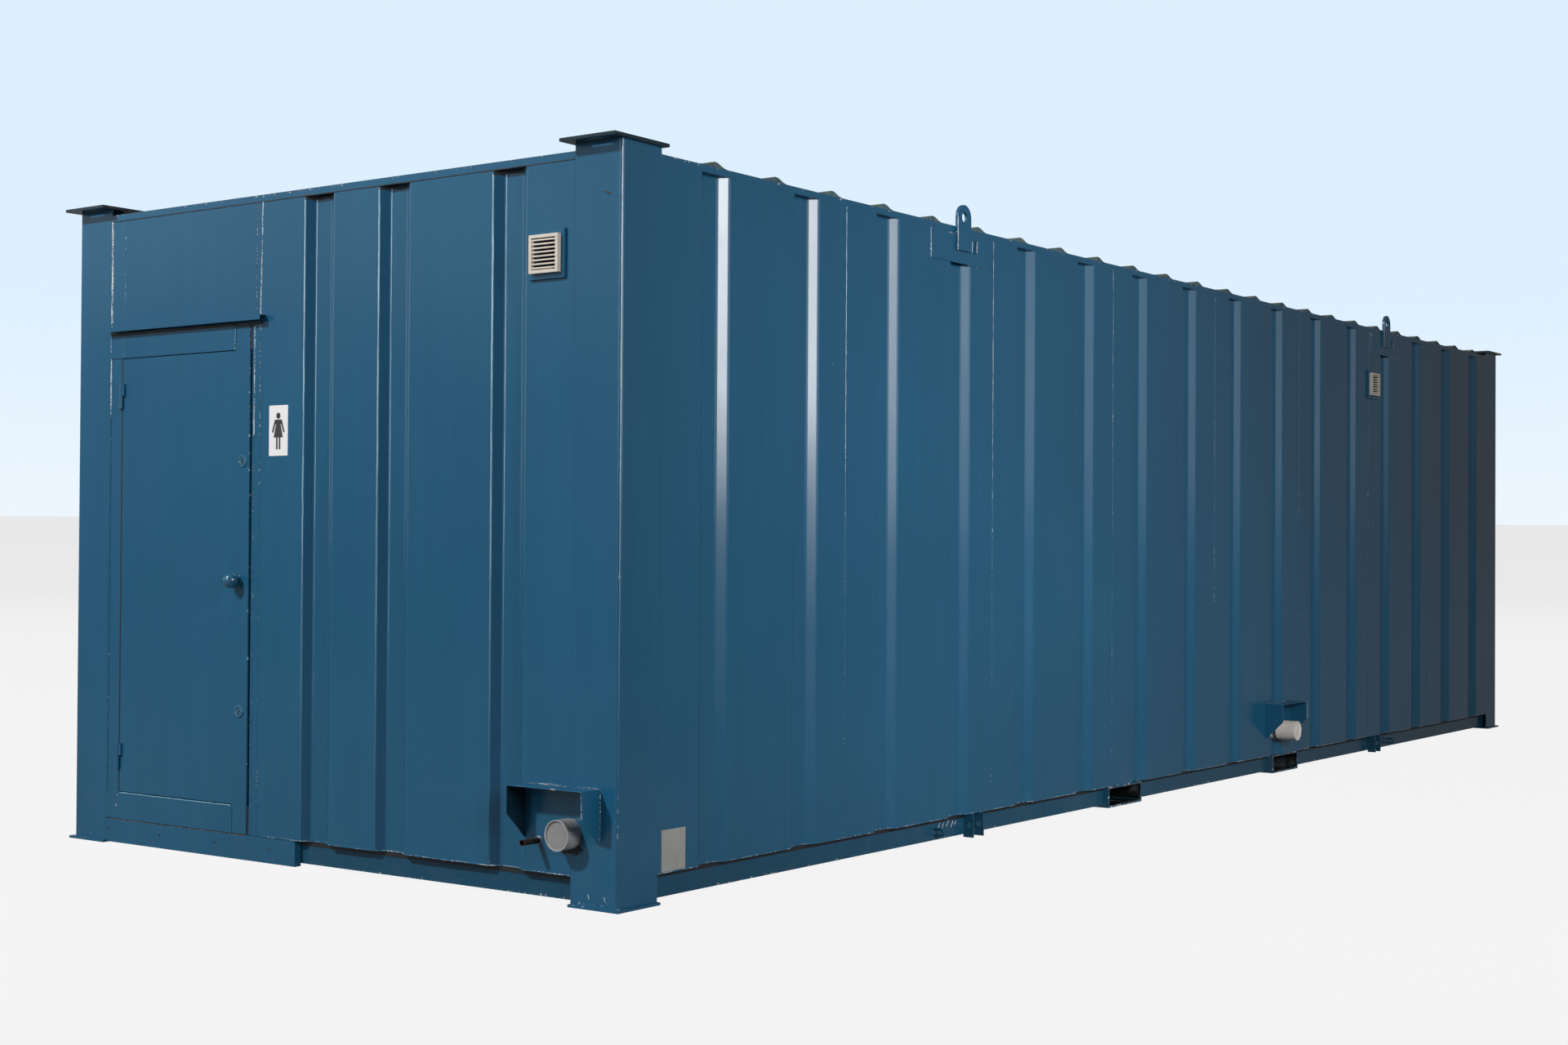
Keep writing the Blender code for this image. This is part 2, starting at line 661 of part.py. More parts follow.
hinge_barrels = rods("hinge_barrels", [
    ((hinge_x, DOOR_HINGE_Y, z - HINGE_TALL / 2), (hinge_x, DOOR_HINGE_Y, z - GAP), HINGE_RADIUS)
    for z in HINGE_Z])
hinge_pins = rods("hinge_pins", [
    ((hinge_x, DOOR_HINGE_Y, z - HINGE_TALL / 4), (hinge_x, DOOR_HINGE_Y, z + HINGE_TALL / 2), HINGE_PIN)
    for z in HINGE_Z], sides=12)
drip = folded("drip", [(0, 0, DRIP_Z - DRIP_LAP), (0, 0, DRIP_Z + DRIP_TALL),
                       (-DRIP_REACH, 0, DRIP_Z + DRIP_TALL), (-DRIP_REACH, 0, DRIP_Z)],
              (-SET_IN, DRIP_END_Y, 0), (-SET_IN, frame_left_y, 0), DOOR_SKIN, None, -INWARD)
keeps = boxes("keeps", [
    ((DOOR_THICK / 2 - BOLT_THICK, opening_low - KEEP_DEPTH, z - BOLT_TALL),
     (DOOR_THICK / 2 + BOLT_THICK, opening_low + GAP, z + BOLT_TALL)) for z in (KNOB_Z, *BOLT_Z)])
boolean(door_frame, rebate)
welded(door_frame, face_plates, hinge_flaps, hinge_barrels, hinge_pins, drip)
boolean(door_frame, sill_room)
boolean(door_frame, keeps)
mirrored(door_frame, "door_frame_far", "paint")

# Entrance leaf with its full-height cover strip and upper hinge barrels
leaf_at = Vector((hinge_x, DOOR_HINGE_Y, DOOR_Z0))


def from_hinge(x, y, z):
    return (x - leaf_at.x, y - leaf_at.y, z - leaf_at.z)


def leaf_boxes(name, spans, finish=None):
    return boxes(name, [(from_hinge(*low), from_hinge(*high)) for low, high in spans], finish, leaf_at)


def leaf_rods(name, runs, sides=16):
    return rods(name, [(from_hinge(*start), from_hinge(*end), radius) for start, end, radius in runs],
                None, leaf_at, sides)


mid_x = DOOR_THICK / 2
door_leaf = leaf_boxes("door_leaf_near", [((-GAP * 4, DOOR_EDGE_Y, DOOR_Z0),
                                           (DOOR_THICK, DOOR_HINGE_Y - DOOR_GAP, DOOR_Z1))], "paint")
strip = leaf_boxes("strip", [((-DOOR_SKIN - GAP, DOOR_EDGE_Y + SET_IN, frame_low + DOOR_GAP),
                              (-GAP, DOOR_PLATE_Y, STRIP_Z1))])
leaf_flaps = leaf_boxes("leaf_flaps", [
    ((hinge_x - HINGE_FLAP, DOOR_HINGE_Y - HINGE_FLAP * 8, z + GAP + SET_IN),
     (SET_IN, DOOR_HINGE_Y - HINGE_RADIUS / 2, z + HINGE_TALL / 2 - SET_IN)) for z in HINGE_Z])
leaf_barrels = leaf_rods("leaf_barrels", [
    ((hinge_x, DOOR_HINGE_Y, z + GAP), (hinge_x, DOOR_HINGE_Y, z + HINGE_TALL / 2), HINGE_RADIUS)
    for z in HINGE_Z])
leaf_bores = leaf_rods("leaf_bores", [
    ((hinge_x, DOOR_HINGE_Y, z - HINGE_RADIUS), (hinge_x, DOOR_HINGE_Y, z + HINGE_TALL), HINGE_PIN + GAP)
    for z in HINGE_Z], 12)
bolt_rooms = leaf_boxes("bolt_rooms", [
    ((mid_x - BOLT_THICK / 2 - GAP, DOOR_EDGE_Y - GAP, z - BOLT_TALL / 2 - GAP),
     (mid_x + BOLT_THICK / 2 + GAP, DOOR_EDGE_Y + BOLT_LONG + GAP * 2, z + BOLT_TALL / 2 + GAP))
    for z in BOLT_Z])
latch_room = leaf_boxes("latch_room", [
    ((mid_x - LATCH_THICK / 2 - GAP, DOOR_EDGE_Y - GAP, KNOB_Z - LATCH_TALL / 2 - GAP),
     (mid_x + LATCH_THICK / 2 + GAP, KNOB_Y, KNOB_Z + LATCH_TALL / 2 + GAP))])
shank_room = leaf_rods("shank_room", [
    ((-DOOR_THICK, KNOB_Y, KNOB_Z), (DOOR_THICK * 2, KNOB_Y, KNOB_Z), KNOB_SHANK + GAP)])
welded(door_leaf, strip, leaf_flaps, leaf_barrels)
for room in (leaf_bores, bolt_rooms, latch_room, shank_room):
    boolean(door_leaf, room)
mirrored(door_leaf, "door_leaf_far", "paint")

# Knob, latch and the two lock bolts; they stand drawn back, as in an unlocked door
knob_at = (0, KNOB_Y, KNOB_Z)
face_x = -DOOR_SKIN - GAP * 2
bm = bmesh.new()
ball_x = -KNOB_REACH + KNOB_RADIUS
bmesh.ops.create_uvsphere(bm, u_segments=20, v_segments=12, radius=KNOB_RADIUS,
                          matrix=Matrix.Translation((ball_x, 0, 0)) @ Matrix.Rotation(math.pi / 2, 4, "Y"))
knob = from_bmesh("door_knob_near", bm, "paint", knob_at)
inner_x = DOOR_THICK + GAP
shank = rods("shank", [((ball_x, 0, 0), (inner_x + KNOB_ROSE, 0, 0), KNOB_SHANK)], None, knob_at)
rose_radius = KNOB_RADIUS * ROSE_SHARE
rose = rods("rose", [((face_x - KNOB_ROSE, 0, 0), (face_x, 0, 0), rose_radius)], None, knob_at, 20)
inner_rose = rods("inner_rose", [((inner_x, 0, 0), (inner_x + KNOB_ROSE * 2, 0, 0), rose_radius)], None,
                  knob_at, 20)
welded(knob, shank, rose, inner_rose)
mirrored(knob, "door_knob_far", "paint")
latch_long = KNOB_Y - KNOB_SHANK - GAP * 2 - DOOR_EDGE_Y
latch = boxes("latch_bolt_near", [((-LATCH_THICK / 2, 0, -LATCH_TALL / 2),
                                   (LATCH_THICK / 2, latch_long, LATCH_TALL / 2))],
              "galvanised", (mid_x, DOOR_EDGE_Y, KNOB_Z))
mirrored(latch, "latch_bolt_far", "galvanised")
for label, z in zip(("upper", "lower"), BOLT_Z):
    bolt = boxes("lock_bolt_%s_near" % label, [((-BOLT_THICK / 2, 0, -BOLT_TALL / 2),
                                                (BOLT_THICK / 2, BOLT_LONG, BOLT_TALL / 2))],
                 "galvanised", (mid_x, DOOR_EDGE_Y, z))
    mirrored(bolt, "lock_bolt_%s_far" % label, "galvanised")

# Threshold plates, screwed on under the doors, with one return to the base frame
threshold = boxes("threshold_near", [((0, THRESHOLD_END_Y, THRESHOLD_Z0),
                                      (DOOR_SKIN, frame_left_y, frame_low - GAP * 5))], "paint")
threshold_return = boxes("threshold_return", [((GAP, THRESHOLD_END_Y, THRESHOLD_Z0),
                                               (LINING_OUT - GAP, THRESHOLD_END_Y + DOOR_SKIN,
                                                frame_low - GAP * 5))])
welded(threshold, threshold_return)
mirrored(threshold, "threshold_far", "paint")

# The far end wall is the near one mirrored, before the vent and pipe holes are cut
clad_far = mirrored(clad_near, "end_cladding_far", "paint")
far_room = boxes("far_room", [
    ((LENGTH - LINING_IN - GROOVE_DEPTH, FRAME_RIGHT_Y - GAP, frame_low - GROOVE_DEPTH),
     (LENGTH + GROOVE_DEPTH, WIDTH - COVER_END + GAP, frame_top + GAP))])
boolean(wall_lining, far_room)

# Roof frame: an eaves ring hollowed from below, and purlins across it
ring_loop = square(0, 0, LENGTH, WIDTH)
ring_hole = square(RAIL_DEEP, RAIL_DEEP, LENGTH - RAIL_DEEP, WIDTH - RAIL_DEEP)
roof_frame = outline("roof_frame", [ring_loop, ring_hole], RAIL_BAND, "paint", "XY", (0, 0, RAIL_Z))
hollow_low = corner + RAIL_WALL
hollow_high = RAIL_DEEP - RAIL_WALL
hollow = outline("hollow", [
    square(hollow_low, hollow_low, LENGTH - hollow_low, WIDTH - hollow_low),
    square(hollow_high, hollow_high, LENGTH - hollow_high, WIDTH - hollow_high)],
    RAIL_BAND, None, "XY", (0, 0, RAIL_Z - RAIL_WALL))
purlin_count = int((LENGTH - 2 * RAIL_DEEP) / PURLIN_PITCH)
purlin_start = MIDDLE - (purlin_count - 1) * PURLIN_PITCH / 2
purlin_seat = RAIL_DEEP - RAIL_WALL / 2
purlins = boxes("purlins", [
    ((x - PURLIN_WIDE / 2, purlin_seat, RAIL_TOP - PURLIN_TALL),
     (x + PURLIN_WIDE / 2, WIDTH - purlin_seat, RAIL_TOP - RAIL_WALL / 2))
    for x in (purlin_start + index * PURLIN_PITCH for index in range(purlin_count))])
boolean(roof_frame, hollow)
for end, side in corner_signs():
    room = [(-GAP, -GAP), (COVER_END, -GAP), (COVER_END, corner), (corner, corner), (corner, COVER_END),
            (-GAP, COVER_END)]
    room = [at_corner(end, side, u, v) for u, v in room]
    boolean(roof_frame, outline("post_notch", [room], POST_TOP * 2, None))
welded(roof_frame, purlins)

# Roof sheet: low rounded humps across the block
hump_count = int((LENGTH - 2 * COVER_END) / HUMP_PITCH)
hump_start = MIDDLE - (hump_count - 1) * HUMP_PITCH / 2
roof_run = [(ROOF_INSET, 0)]
for index in range(hump_count):
    middle = hump_start + index * HUMP_PITCH
    for step in range(HUMP_STEPS + 1):
        u = HUMP_WIDE * (step / HUMP_STEPS - 0.5)
        rise = HUMP_TALL * math.cos(math.pi * u / HUMP_WIDE) ** 2
        roof_run.append((middle + u, rise))
roof_run.append((LENGTH - ROOF_INSET, 0))
roof_sheet = folded("roof_sheet", [(u, 0, RAIL_TOP + GAP + rise) for u, rise in roof_run],
                    (0, ROOF_INSET, 0), (0, WIDTH - ROOF_INSET, 0), SHEET, "dark_paint", -INWARD)
post_spans = []
for end, side in corner_signs():
    low_x, low_y, high_x, high_y = corner_span(end, side, -GAP, -GAP, COVER_END, COVER_END)
    post_spans.append(((low_x, low_y, RAIL_TOP - HUMP_TALL), (high_x, high_y, RAIL_TOP + HUMP_TALL * 2)))
boolean(roof_sheet, boxes("post_room", post_spans))

# Lifting lugs: eye plates on patch plates that bridge the top of a groove, with a small tab
lug_names = {(-1, -1): "lifting_lug_front_near", (1, -1): "lifting_lug_front_far",
             (-1, 1): "lifting_lug_back_near", (1, 1): "lifting_lug_back_far"}
for (sign, facing), name in lug_names.items():
    x = MIDDLE + sign * LUG_OFFSET
    wall_y = WIDTH + GAP if facing > 0 else -GAP
    half = LUG_WIDE / 2
    head = arc((x, LUG_TOP - half), half, 0, 180, 12)
    plate = [(x - half, LUG_BOTTOM), (x + half, LUG_BOTTOM), *head]
    eye = arc((x, LUG_TOP - LUG_HOLE_DROP), LUG_HOLE, 0, 345, 23)
    patch = square(x - PATCH_WIDE / 2, PATCH_BOTTOM, x + PATCH_WIDE / 2, PATCH_TOP)
    patch_low = min(wall_y, wall_y + facing * PATCH_PLATE)
    lug_start = wall_y + facing * PATCH_PLATE / 2
    lug_end = wall_y + facing * (PATCH_PLATE + LUG_THICK)
    tab_end = wall_y + facing * (PATCH_PLATE + TAB_OUT)
    tab_x = x + half + TAB_WIDE
    lug = outline(name, [plate, eye], abs(lug_end - lug_start), "paint", "XZ",
                  (0, min(lug_start, lug_end), 0))
    patch_plate = outline("patch", [patch], PATCH_PLATE, None, "XZ", (0, patch_low, 0))
    tab = boxes("tab", [((tab_x, min(lug_start, tab_end), LUG_BOTTOM),
                         (tab_x + COVER_PLATE, max(lug_start, tab_end), LUG_BOTTOM + TAB_TALL))])
    welded(lug, patch_plate, tab)


# Vents: a painted collar with a duct through the wall, and a louvred grille
def vent(label, place, turn):
    """Built facing -y about its own middle, then turned about z and set on the wall."""
    collar_u, collar_v = VENT_COLLAR[0] / 2, VENT_COLLAR[1] / 2
    opening = VENT_GRILLE - GRILLE_FRAME * 2
    mouth = opening / 2
    half = VENT_GRILLE / 2
    collar = outline("vent_collar_" + label, [square(-collar_u, -collar_v, collar_u, collar_v),
                                              square(-mouth, -mouth, mouth, mouth)],
                     VENT_OUT, "paint", "XZ", (0, -GAP - VENT_OUT, 0))
    sleeve = outline("sleeve", [square(-mouth, -mouth, mouth, mouth),
                                square(-mouth + DUCT_WALL, -mouth + DUCT_WALL,
                                       mouth - DUCT_WALL, mouth - DUCT_WALL)],
                     LINING_IN + VENT_OUT, None, "XZ", (0, -VENT_OUT, 0))
    rim_low = -GAP * 2 - VENT_OUT - GRILLE_DEEP
    grille = outline("vent_grille_" + label, [square(-half, -half, half, half),
                                              square(-mouth, -mouth, mouth, mouth)],
                     GRILLE_DEEP, "cream_plastic", "XZ", (0, rim_low, 0))
    pitch = opening / LOUVRES
    blades = boxes("blades", [
        ((-mouth - GAP, rim_low + GRILLE_DEEP * 0.2, -mouth + pitch * (index + 0.3)),
         (mouth + GAP, rim_low + GRILLE_DEEP * 0.8, -mouth + pitch * (index + 0.7)))
        for index in range(LOUVRES)])
    frame = Matrix.Translation(place) @ Matrix.Rotation(turn, 4, "Z")
    for piece in (collar, sleeve, grille, blades):
        piece.data.transform(Matrix.Translation(piece.location))
        piece.location = (0, 0, 0)
        piece.data.transform(frame)
    welded(collar, sleeve)
    welded(grille, blades)


vent("end", Vector((0, VENT_END_Y, VENT_Z)), -math.pi / 2)
vent("side", Vector((VENT_SIDE_X, 0, VENT_Z)), 0)
vent_hole = VENT_GRILLE / 2 - GRILLE_FRAME + GAP
vent_rooms = boxes("vent_rooms", [
    ((-LINING_IN, VENT_END_Y - vent_hole, VENT_Z - vent_hole),
     (LINING_IN * 2, VENT_END_Y + vent_hole, VENT_Z + vent_hole)),
    ((VENT_SIDE_X - vent_hole, -LINING_IN, VENT_Z - vent_hole),
     (VENT_SIDE_X + vent_hole, LINING_IN * 2, VENT_Z + vent_hole))])
for wall in (clad_near, clad_front, wall_lining):
    boolean(wall, vent_rooms)

# Soil pipes with blanking plugs cemented in, the water pipe, and their holes
end_stop_x = CUBICLE_X[0] + PAN_WIDE / 2
side_stop_y = PAN_BACK_Y - SPIGOT_RADIUS - GAP
plug_radius = PIPE_RADIUS - PIPE_WALL / 2
pipe_holes = {}
end_mouth = Vector((-END_PIPE_OUT, END_PIPE_Y, END_PIPE_Z))
side_mouth = Vector((SIDE_PIPE_X, -SIDE_PIPE_OUT, SIDE_PIPE_Z))
for label, mouth, way, long in (("end", end_mouth, X_AXIS, END_PIPE_OUT + end_stop_x),
                                ("side", side_mouth, Y_AXIS, SIDE_PIPE_OUT + side_stop_y)):
    pipe = rods("soil_pipe_" + label, [(mouth, mouth + way * long, PIPE_RADIUS)], "grey_plastic", sides=24)
    bore = rods("bore", [(mouth - way * GAP, mouth + way * (long + GAP), PIPE_RADIUS - PIPE_WALL)],
                sides=24)
    boolean(pipe, bore)
    plug = rods("plug", [(mouth + way * PLUG_DEPTH, mouth + way * (PLUG_DEPTH + PLUG_THICK), plug_radius)],
                sides=24)
    welded(pipe, plug)
    pipe_hole = rods("pipe_hole", [(mouth, mouth + way * (long + PIPE_RADIUS), PIPE_RADIUS + GAP)], sides=24)
    for wall in (clad_near, clad_front, wall_lining, posts[0, 0]):
        boolean(wall, pipe_hole)
    pipe_holes[label] = pipe_hole
water_start = Vector((-WATER_OUT, WATER_Y, WATER_Z))
water_end = Vector((LINING_IN + WATER_IN, WATER_Y, WATER_Z))
water = rods("water_pipe", [(water_start, water_end, WATER_RADIUS)], "copper", sides=16)
boolean(water, rods("water_bore", [(water_start - X_AXIS * GAP, water_end - X_AXIS * WATER_WALL,
                                    WATER_RADIUS - WATER_WALL)], sides=16))
water_hole = rods("water_hole", [(water_start, water_end + X_AXIS * WATER_RADIUS, WATER_RADIUS + GAP)],
                  sides=16)
for wall in (clad_near, wall_lining):
    boolean(wall, water_hole)


# Pipe hoods: a lid and two cheeks whose lower corners are slanted
def hood(label, place, turn):
    half = HOOD_WIDE / 2
    cheek = [(-GAP, -HOOD_TALL), (-HOOD_DEEP, -HOOD_EDGE), (-HOOD_DEEP, 0), (-GAP, 0)]
    shell = outline("pipe_hood_" + label, [cheek], HOOD_WIDE, "paint", "YZ", (-half, 0, 0))
    inside = boxes("hood_inside", [((-half + HOOD_PLATE, -HOOD_DEEP * 2, -HOOD_TALL * 2),
                                    (half - HOOD_PLATE, HOOD_DEEP, -HOOD_PLATE))])
    frame = Matrix.Translation(place) @ Matrix.Rotation(turn, 4, "Z")
    for piece in (shell, inside):
        piece.data.transform(Matrix.Translation(piece.location))
        piece.location = (0, 0, 0)
        piece.data.transform(frame)
    boolean(shell, inside)


hood("end", Vector((0, END_HOOD_Y, END_HOOD_TOP)), -math.pi / 2)
hood("side", Vector((SIDE_PIPE_X, 0, SIDE_HOOD_TOP)), 0)


# Cubicles: a screen, a door on two pivots, and a toilet with its cistern, seat and lever
def oval(centre, wide, deep, steps):
    points = []
    for step in range(steps):
        angle = 2 * math.pi * step / steps
        points.append((centre[0] + wide / 2 * math.cos(angle), centre[1] + deep / 2 * math.sin(angle)))
    return points


def lofted(name, loops, finish=None):
    """A closed body through loops of points, each loop given with its height."""
    bm = bmesh.new()
    rings = []
    for loop, z in loops:
        verts = [bm.verts.new((u, v, z)) for u, v in loop]
        rings.append([bm.edges.new(pair) for pair in zip(verts, verts[1:] + verts[:1])])
    for lower, upper in zip(rings, rings[1:]):
        bmesh.ops.bridge_loops(bm, edges=lower + upper)
    bmesh.ops.contextual_create(bm, geom=rings[0])
    bmesh.ops.contextual_create(bm, geom=rings[-1])
    return from_bmesh(name, bm, finish)


def cubicle(label, x, pipe_z, pipe_hole):
    half = CUBICLE_WIDE / 2
    door_low = x - CUBICLE_DOOR / 2 - CUBICLE_GAP
    door_high = x + CUBICLE_DOOR / 2 + CUBICLE_GAP
    door_top = PANEL_TOP - HEAD_TALL
    front = [(x - half - PANEL, ROOM_FLOOR), (door_low, ROOM_FLOOR), (door_low, door_top),
             (door_high, door_top), (door_high, ROOM_FLOOR), (x + half + PANEL, ROOM_FLOOR),
             (x + half + PANEL, PANEL_TOP), (x - half - PANEL, PANEL_TOP)]
    screen = outline("cubicle_screen_" + label, [front], PANEL, "laminate", "XZ", (0, CUBICLE_FRONT_Y, 0))
    cheeks = boxes("side_panels", [
        ((low, LINING_IN + GAP, ROOM_FLOOR), (low + PANEL, CUBICLE_FRONT_Y + PANEL / 2, PANEL_TOP))
        for low in (x - half - PANEL, x + half)])
    welded(screen, cheeks)
    boolean(screen, pipe_hole)
    pivot = Vector((door_low + CUBICLE_GAP + PIVOT_INSET, CUBICLE_FRONT_Y + PANEL / 2, ROOM_FLOOR))
    door = boxes("cubicle_door_" + label, [
        ((-PIVOT_INSET, -PANEL / 2, DOOR_LIFT),
         (CUBICLE_DOOR - PIVOT_INSET, PANEL / 2, door_top - GAP * 10 - ROOM_FLOOR))], "laminate", pivot)
    pins = rods("pivots", [((0, 0, GAP), (0, 0, door_top - GAP - ROOM_FLOOR), PIVOT_RADIUS)], None,
                pivot, 12)
    welded(door, pins)
    pan_top = ROOM_FLOOR + PAN_TALL
    foot_wide = PAN_WIDE * PAN_FOOT_SHARE
    middle_y = PAN_BACK_Y + PAN_FRONT / 2
    foot = oval((x, middle_y - PAN_SHIFT), foot_wide, PAN_FRONT * PAN_FOOT_SHARE, 20)
    pan = lofted("toilet_pan_" + label, [
        (foot, ROOM_FLOOR + GAP),
        (foot, ROOM_FLOOR + PAN_TALL / 2),
        (oval((x, middle_y), PAN_WIDE, PAN_FRONT, 20), pan_top - PAN_RIM),
        (oval((x, middle_y), PAN_WIDE, PAN_FRONT, 20), pan_top)], "china")
    bowl = lofted("bowl", [
        (oval((x, middle_y - PAN_SHIFT), PAN_RIM * 3, PAN_RIM * 3, 20), pan_top - PAN_TALL * BOWL_SHARE),
        (oval((x, middle_y), PAN_WIDE - PAN_RIM * 2, PAN_FRONT - PAN_RIM * 4, 20), pan_top - PAN_RIM),
        (oval((x, middle_y), PAN_WIDE - PAN_RIM * 2, PAN_FRONT - PAN_RIM * 4, 20), pan_top + PAN_RIM)])
    spigot = rods("spigot", [((x, side_stop_y + GAP, pipe_z), (x, middle_y - PAN_SHIFT, pipe_z),
                              SPIGOT_RADIUS)])
    shelf = boxes("shelf", [((x - foot_wide / 2, PAN_BACK_Y - SEAT_EAR * 2, pan_top - PAN_RIM),
                             (x + foot_wide / 2, middle_y - PAN_FRONT / 4, pan_top - GAP))])
    seat_y = PAN_BACK_Y - SEAT_HINGE_BACK / 2
    rod_z = pan_top + SEAT_THICK / 2 + GAP
    ears = boxes("ears", [((ear_x - SEAT_EAR / 2, seat_y - SEAT_EAR, pan_top - PAN_RIM / 2),
                           (ear_x + SEAT_EAR / 2, seat_y + SEAT_EAR * 0.8, rod_z + SEAT_EAR))
                          for ear_x in (x - SEAT_ROD_LONG / 3, x + SEAT_ROD_LONG / 3)])
    rod_hole = rods("rod_hole", [((x - SEAT_ROD_LONG, seat_y, rod_z), (x + SEAT_ROD_LONG, seat_y, rod_z),
                                  SEAT_ROD + GAP)], sides=12)
    welded(pan, spigot, shelf, ears)
    boolean(pan, bowl)
    boolean(pan, rod_hole)
    seat_at = Vector((x, seat_y, rod_z))
    ring_middle = (0, middle_y - seat_y + SEAT_HINGE_BACK)
    seat_wide, seat_deep = PAN_WIDE, PAN_FRONT - SEAT_HINGE_BACK * 2
    seat = outline("toilet_seat_" + label, [
        oval(ring_middle, seat_wide, seat_deep, 28),
        oval(ring_middle, seat_wide - SEAT_RIM * 2, seat_deep - SEAT_RIM * 2, 28)],
        SEAT_THICK, "seat_plastic", "XY", seat_at + Vector((0, 0, -SEAT_THICK / 2)))
    seat_rod = rods("seat_rod", [((-SEAT_ROD_LONG / 2, 0, 0), (SEAT_ROD_LONG / 2, 0, 0), SEAT_ROD)], None,
                    seat_at, 12)
    arm_out = (SEAT_ROD_LONG - SEAT_EAR) / 2
    arms = boxes("seat_arms", [((arm_x - SEAT_EAR / 2, 0, -SEAT_THICK / 2 + GAP),
                                (arm_x + SEAT_EAR / 2, SEAT_RIM * 2, SEAT_THICK / 2 - GAP))
                               for arm_x in (-arm_out, arm_out)], None, seat_at)
    welded(seat, seat_rod, arms)
    seat.data.transform(Matrix.Translation((0, 0, -SEAT_THICK / 2)))
    seat.location = seat_at
    cistern = boxes("cistern_" + label, [((x - CISTERN_WIDE / 2, LINING_IN + GAP, CISTERN_Z),
                                          (x + CISTERN_WIDE / 2, LINING_IN + CISTERN_DEEP,
                                           CISTERN_Z + CISTERN_TALL))], "china")
    flush_y = LINING_IN + CISTERN_DEEP - FLUSH_RADIUS * 2
    flush_z = pan_top - PAN_RIM / 2
    flush = rods("flush", [((x, flush_y, flush_z), (x, flush_y, CISTERN_Z + FLUSH_RADIUS), FLUSH_RADIUS)],
                 sides=12)
    elbow = boxes("elbow", [((x - FLUSH_RADIUS / 2, flush_y, flush_z),
                             (x + FLUSH_RADIUS / 2, PAN_BACK_Y - SEAT_EAR * 2 - GAP, flush_z + FLUSH_RADIUS))])
    lever_z = CISTERN_Z + CISTERN_TALL - LEVER_DROP
    lever_at = Vector((x - CISTERN_WIDE / 4, LINING_IN + CISTERN_DEEP + GAP, lever_z))
    lever_hole = rods("lever_hole", [(lever_at - Y_AXIS * LEVER_SHANK * 5, lever_at + Y_AXIS * LEVER_SHANK,
                                      LEVER_SHANK + GAP)], sides=12)
    welded(cistern, flush, elbow)
    boolean(cistern, lever_hole)
    lever = boxes("flush_lever_" + label, [((-LEVER_BAR, 0, -LEVER_BAR / 2),
                                            (LEVER_LONG, LEVER_BAR, LEVER_BAR / 2))], "chrome", lever_at)
    lever_shank = rods("lever_shank", [((0, -LEVER_SHANK * 4, 0), (0, LEVER_BAR / 2, 0), LEVER_SHANK)], None,
                       lever_at, 12)
    welded(lever, lever_shank)


cubicle("women", CUBICLE_X[0], END_PIPE_Z, pipe_holes["end"])
cubicle("men", CUBICLE_X[1], SIDE_PIPE_Z, pipe_holes["side"])

# Wash basins on the front wall, each with a pillar tap and its lever
for label, x in zip(("women", "men"), BASIN_X):
    back_y = LINING_IN + GAP
    low_z = BASIN_TOP - BASIN_TALL
    basin = boxes("wash_basin_" + label, [((x - BASIN_WIDE / 2, back_y, low_z),
                                           (x + BASIN_WIDE / 2, back_y + BASIN_DEEP, BASIN_TOP))], "china")
    bowl_y = back_y + BASIN_SHELF + (BASIN_DEEP - BASIN_SHELF - BASIN_WALL) / 2
    bowl_deep = BASIN_DEEP - BASIN_SHELF - BASIN_WALL
    bowl_wide = BASIN_WIDE - BASIN_WALL * 2
    basin_bowl = lofted("basin_bowl", [
        (oval((x, bowl_y), bowl_wide / 2, bowl_deep / 2, 24), low_z + BASIN_WALL),
        (oval((x, bowl_y), bowl_wide * BASIN_SHARE, bowl_deep * BASIN_SHARE, 24), low_z + BASIN_TALL / 2),
        (oval((x, bowl_y), bowl_wide, bowl_deep, 24), BASIN_TOP + GAP)])
    tap_y = back_y + BASIN_SHELF / 2
    tap_top = BASIN_TOP + TAP_TALL
    pillar = rods("pillar", [((x, tap_y, BASIN_TOP - GAP * 4), (x, tap_y, tap_top), TAP_RADIUS)], sides=16)
    spout_start = (x, tap_y, tap_top - TAP_RADIUS * 2)
    spout_end = (x, tap_y + TAP_REACH, tap_top - TAP_RADIUS * 3)
    spout = rods("spout", [(spout_start, spout_end, TAP_RADIUS * 0.7)], sides=12)
    boolean(basin, basin_bowl)
    welded(basin, pillar, spout)
    handle_at = (x, tap_y, tap_top + GAP)
    handle = rods("tap_lever_" + label, [((0, 0, 0), (0, 0, TAP_RADIUS * 1.5), TAP_RADIUS)], "chrome",
                  handle_at, 16)
    grip = boxes("grip", [((-TAP_RADIUS / 2, 0, TAP_RADIUS * 0.6),
                           (TAP_RADIUS / 2, TAP_HANDLE, TAP_RADIUS * 1.2))], None, handle_at)
    welded(handle, grip)
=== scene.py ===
import json
import math

import bmesh
import bpy
from mathutils import Matrix, Vector, noise


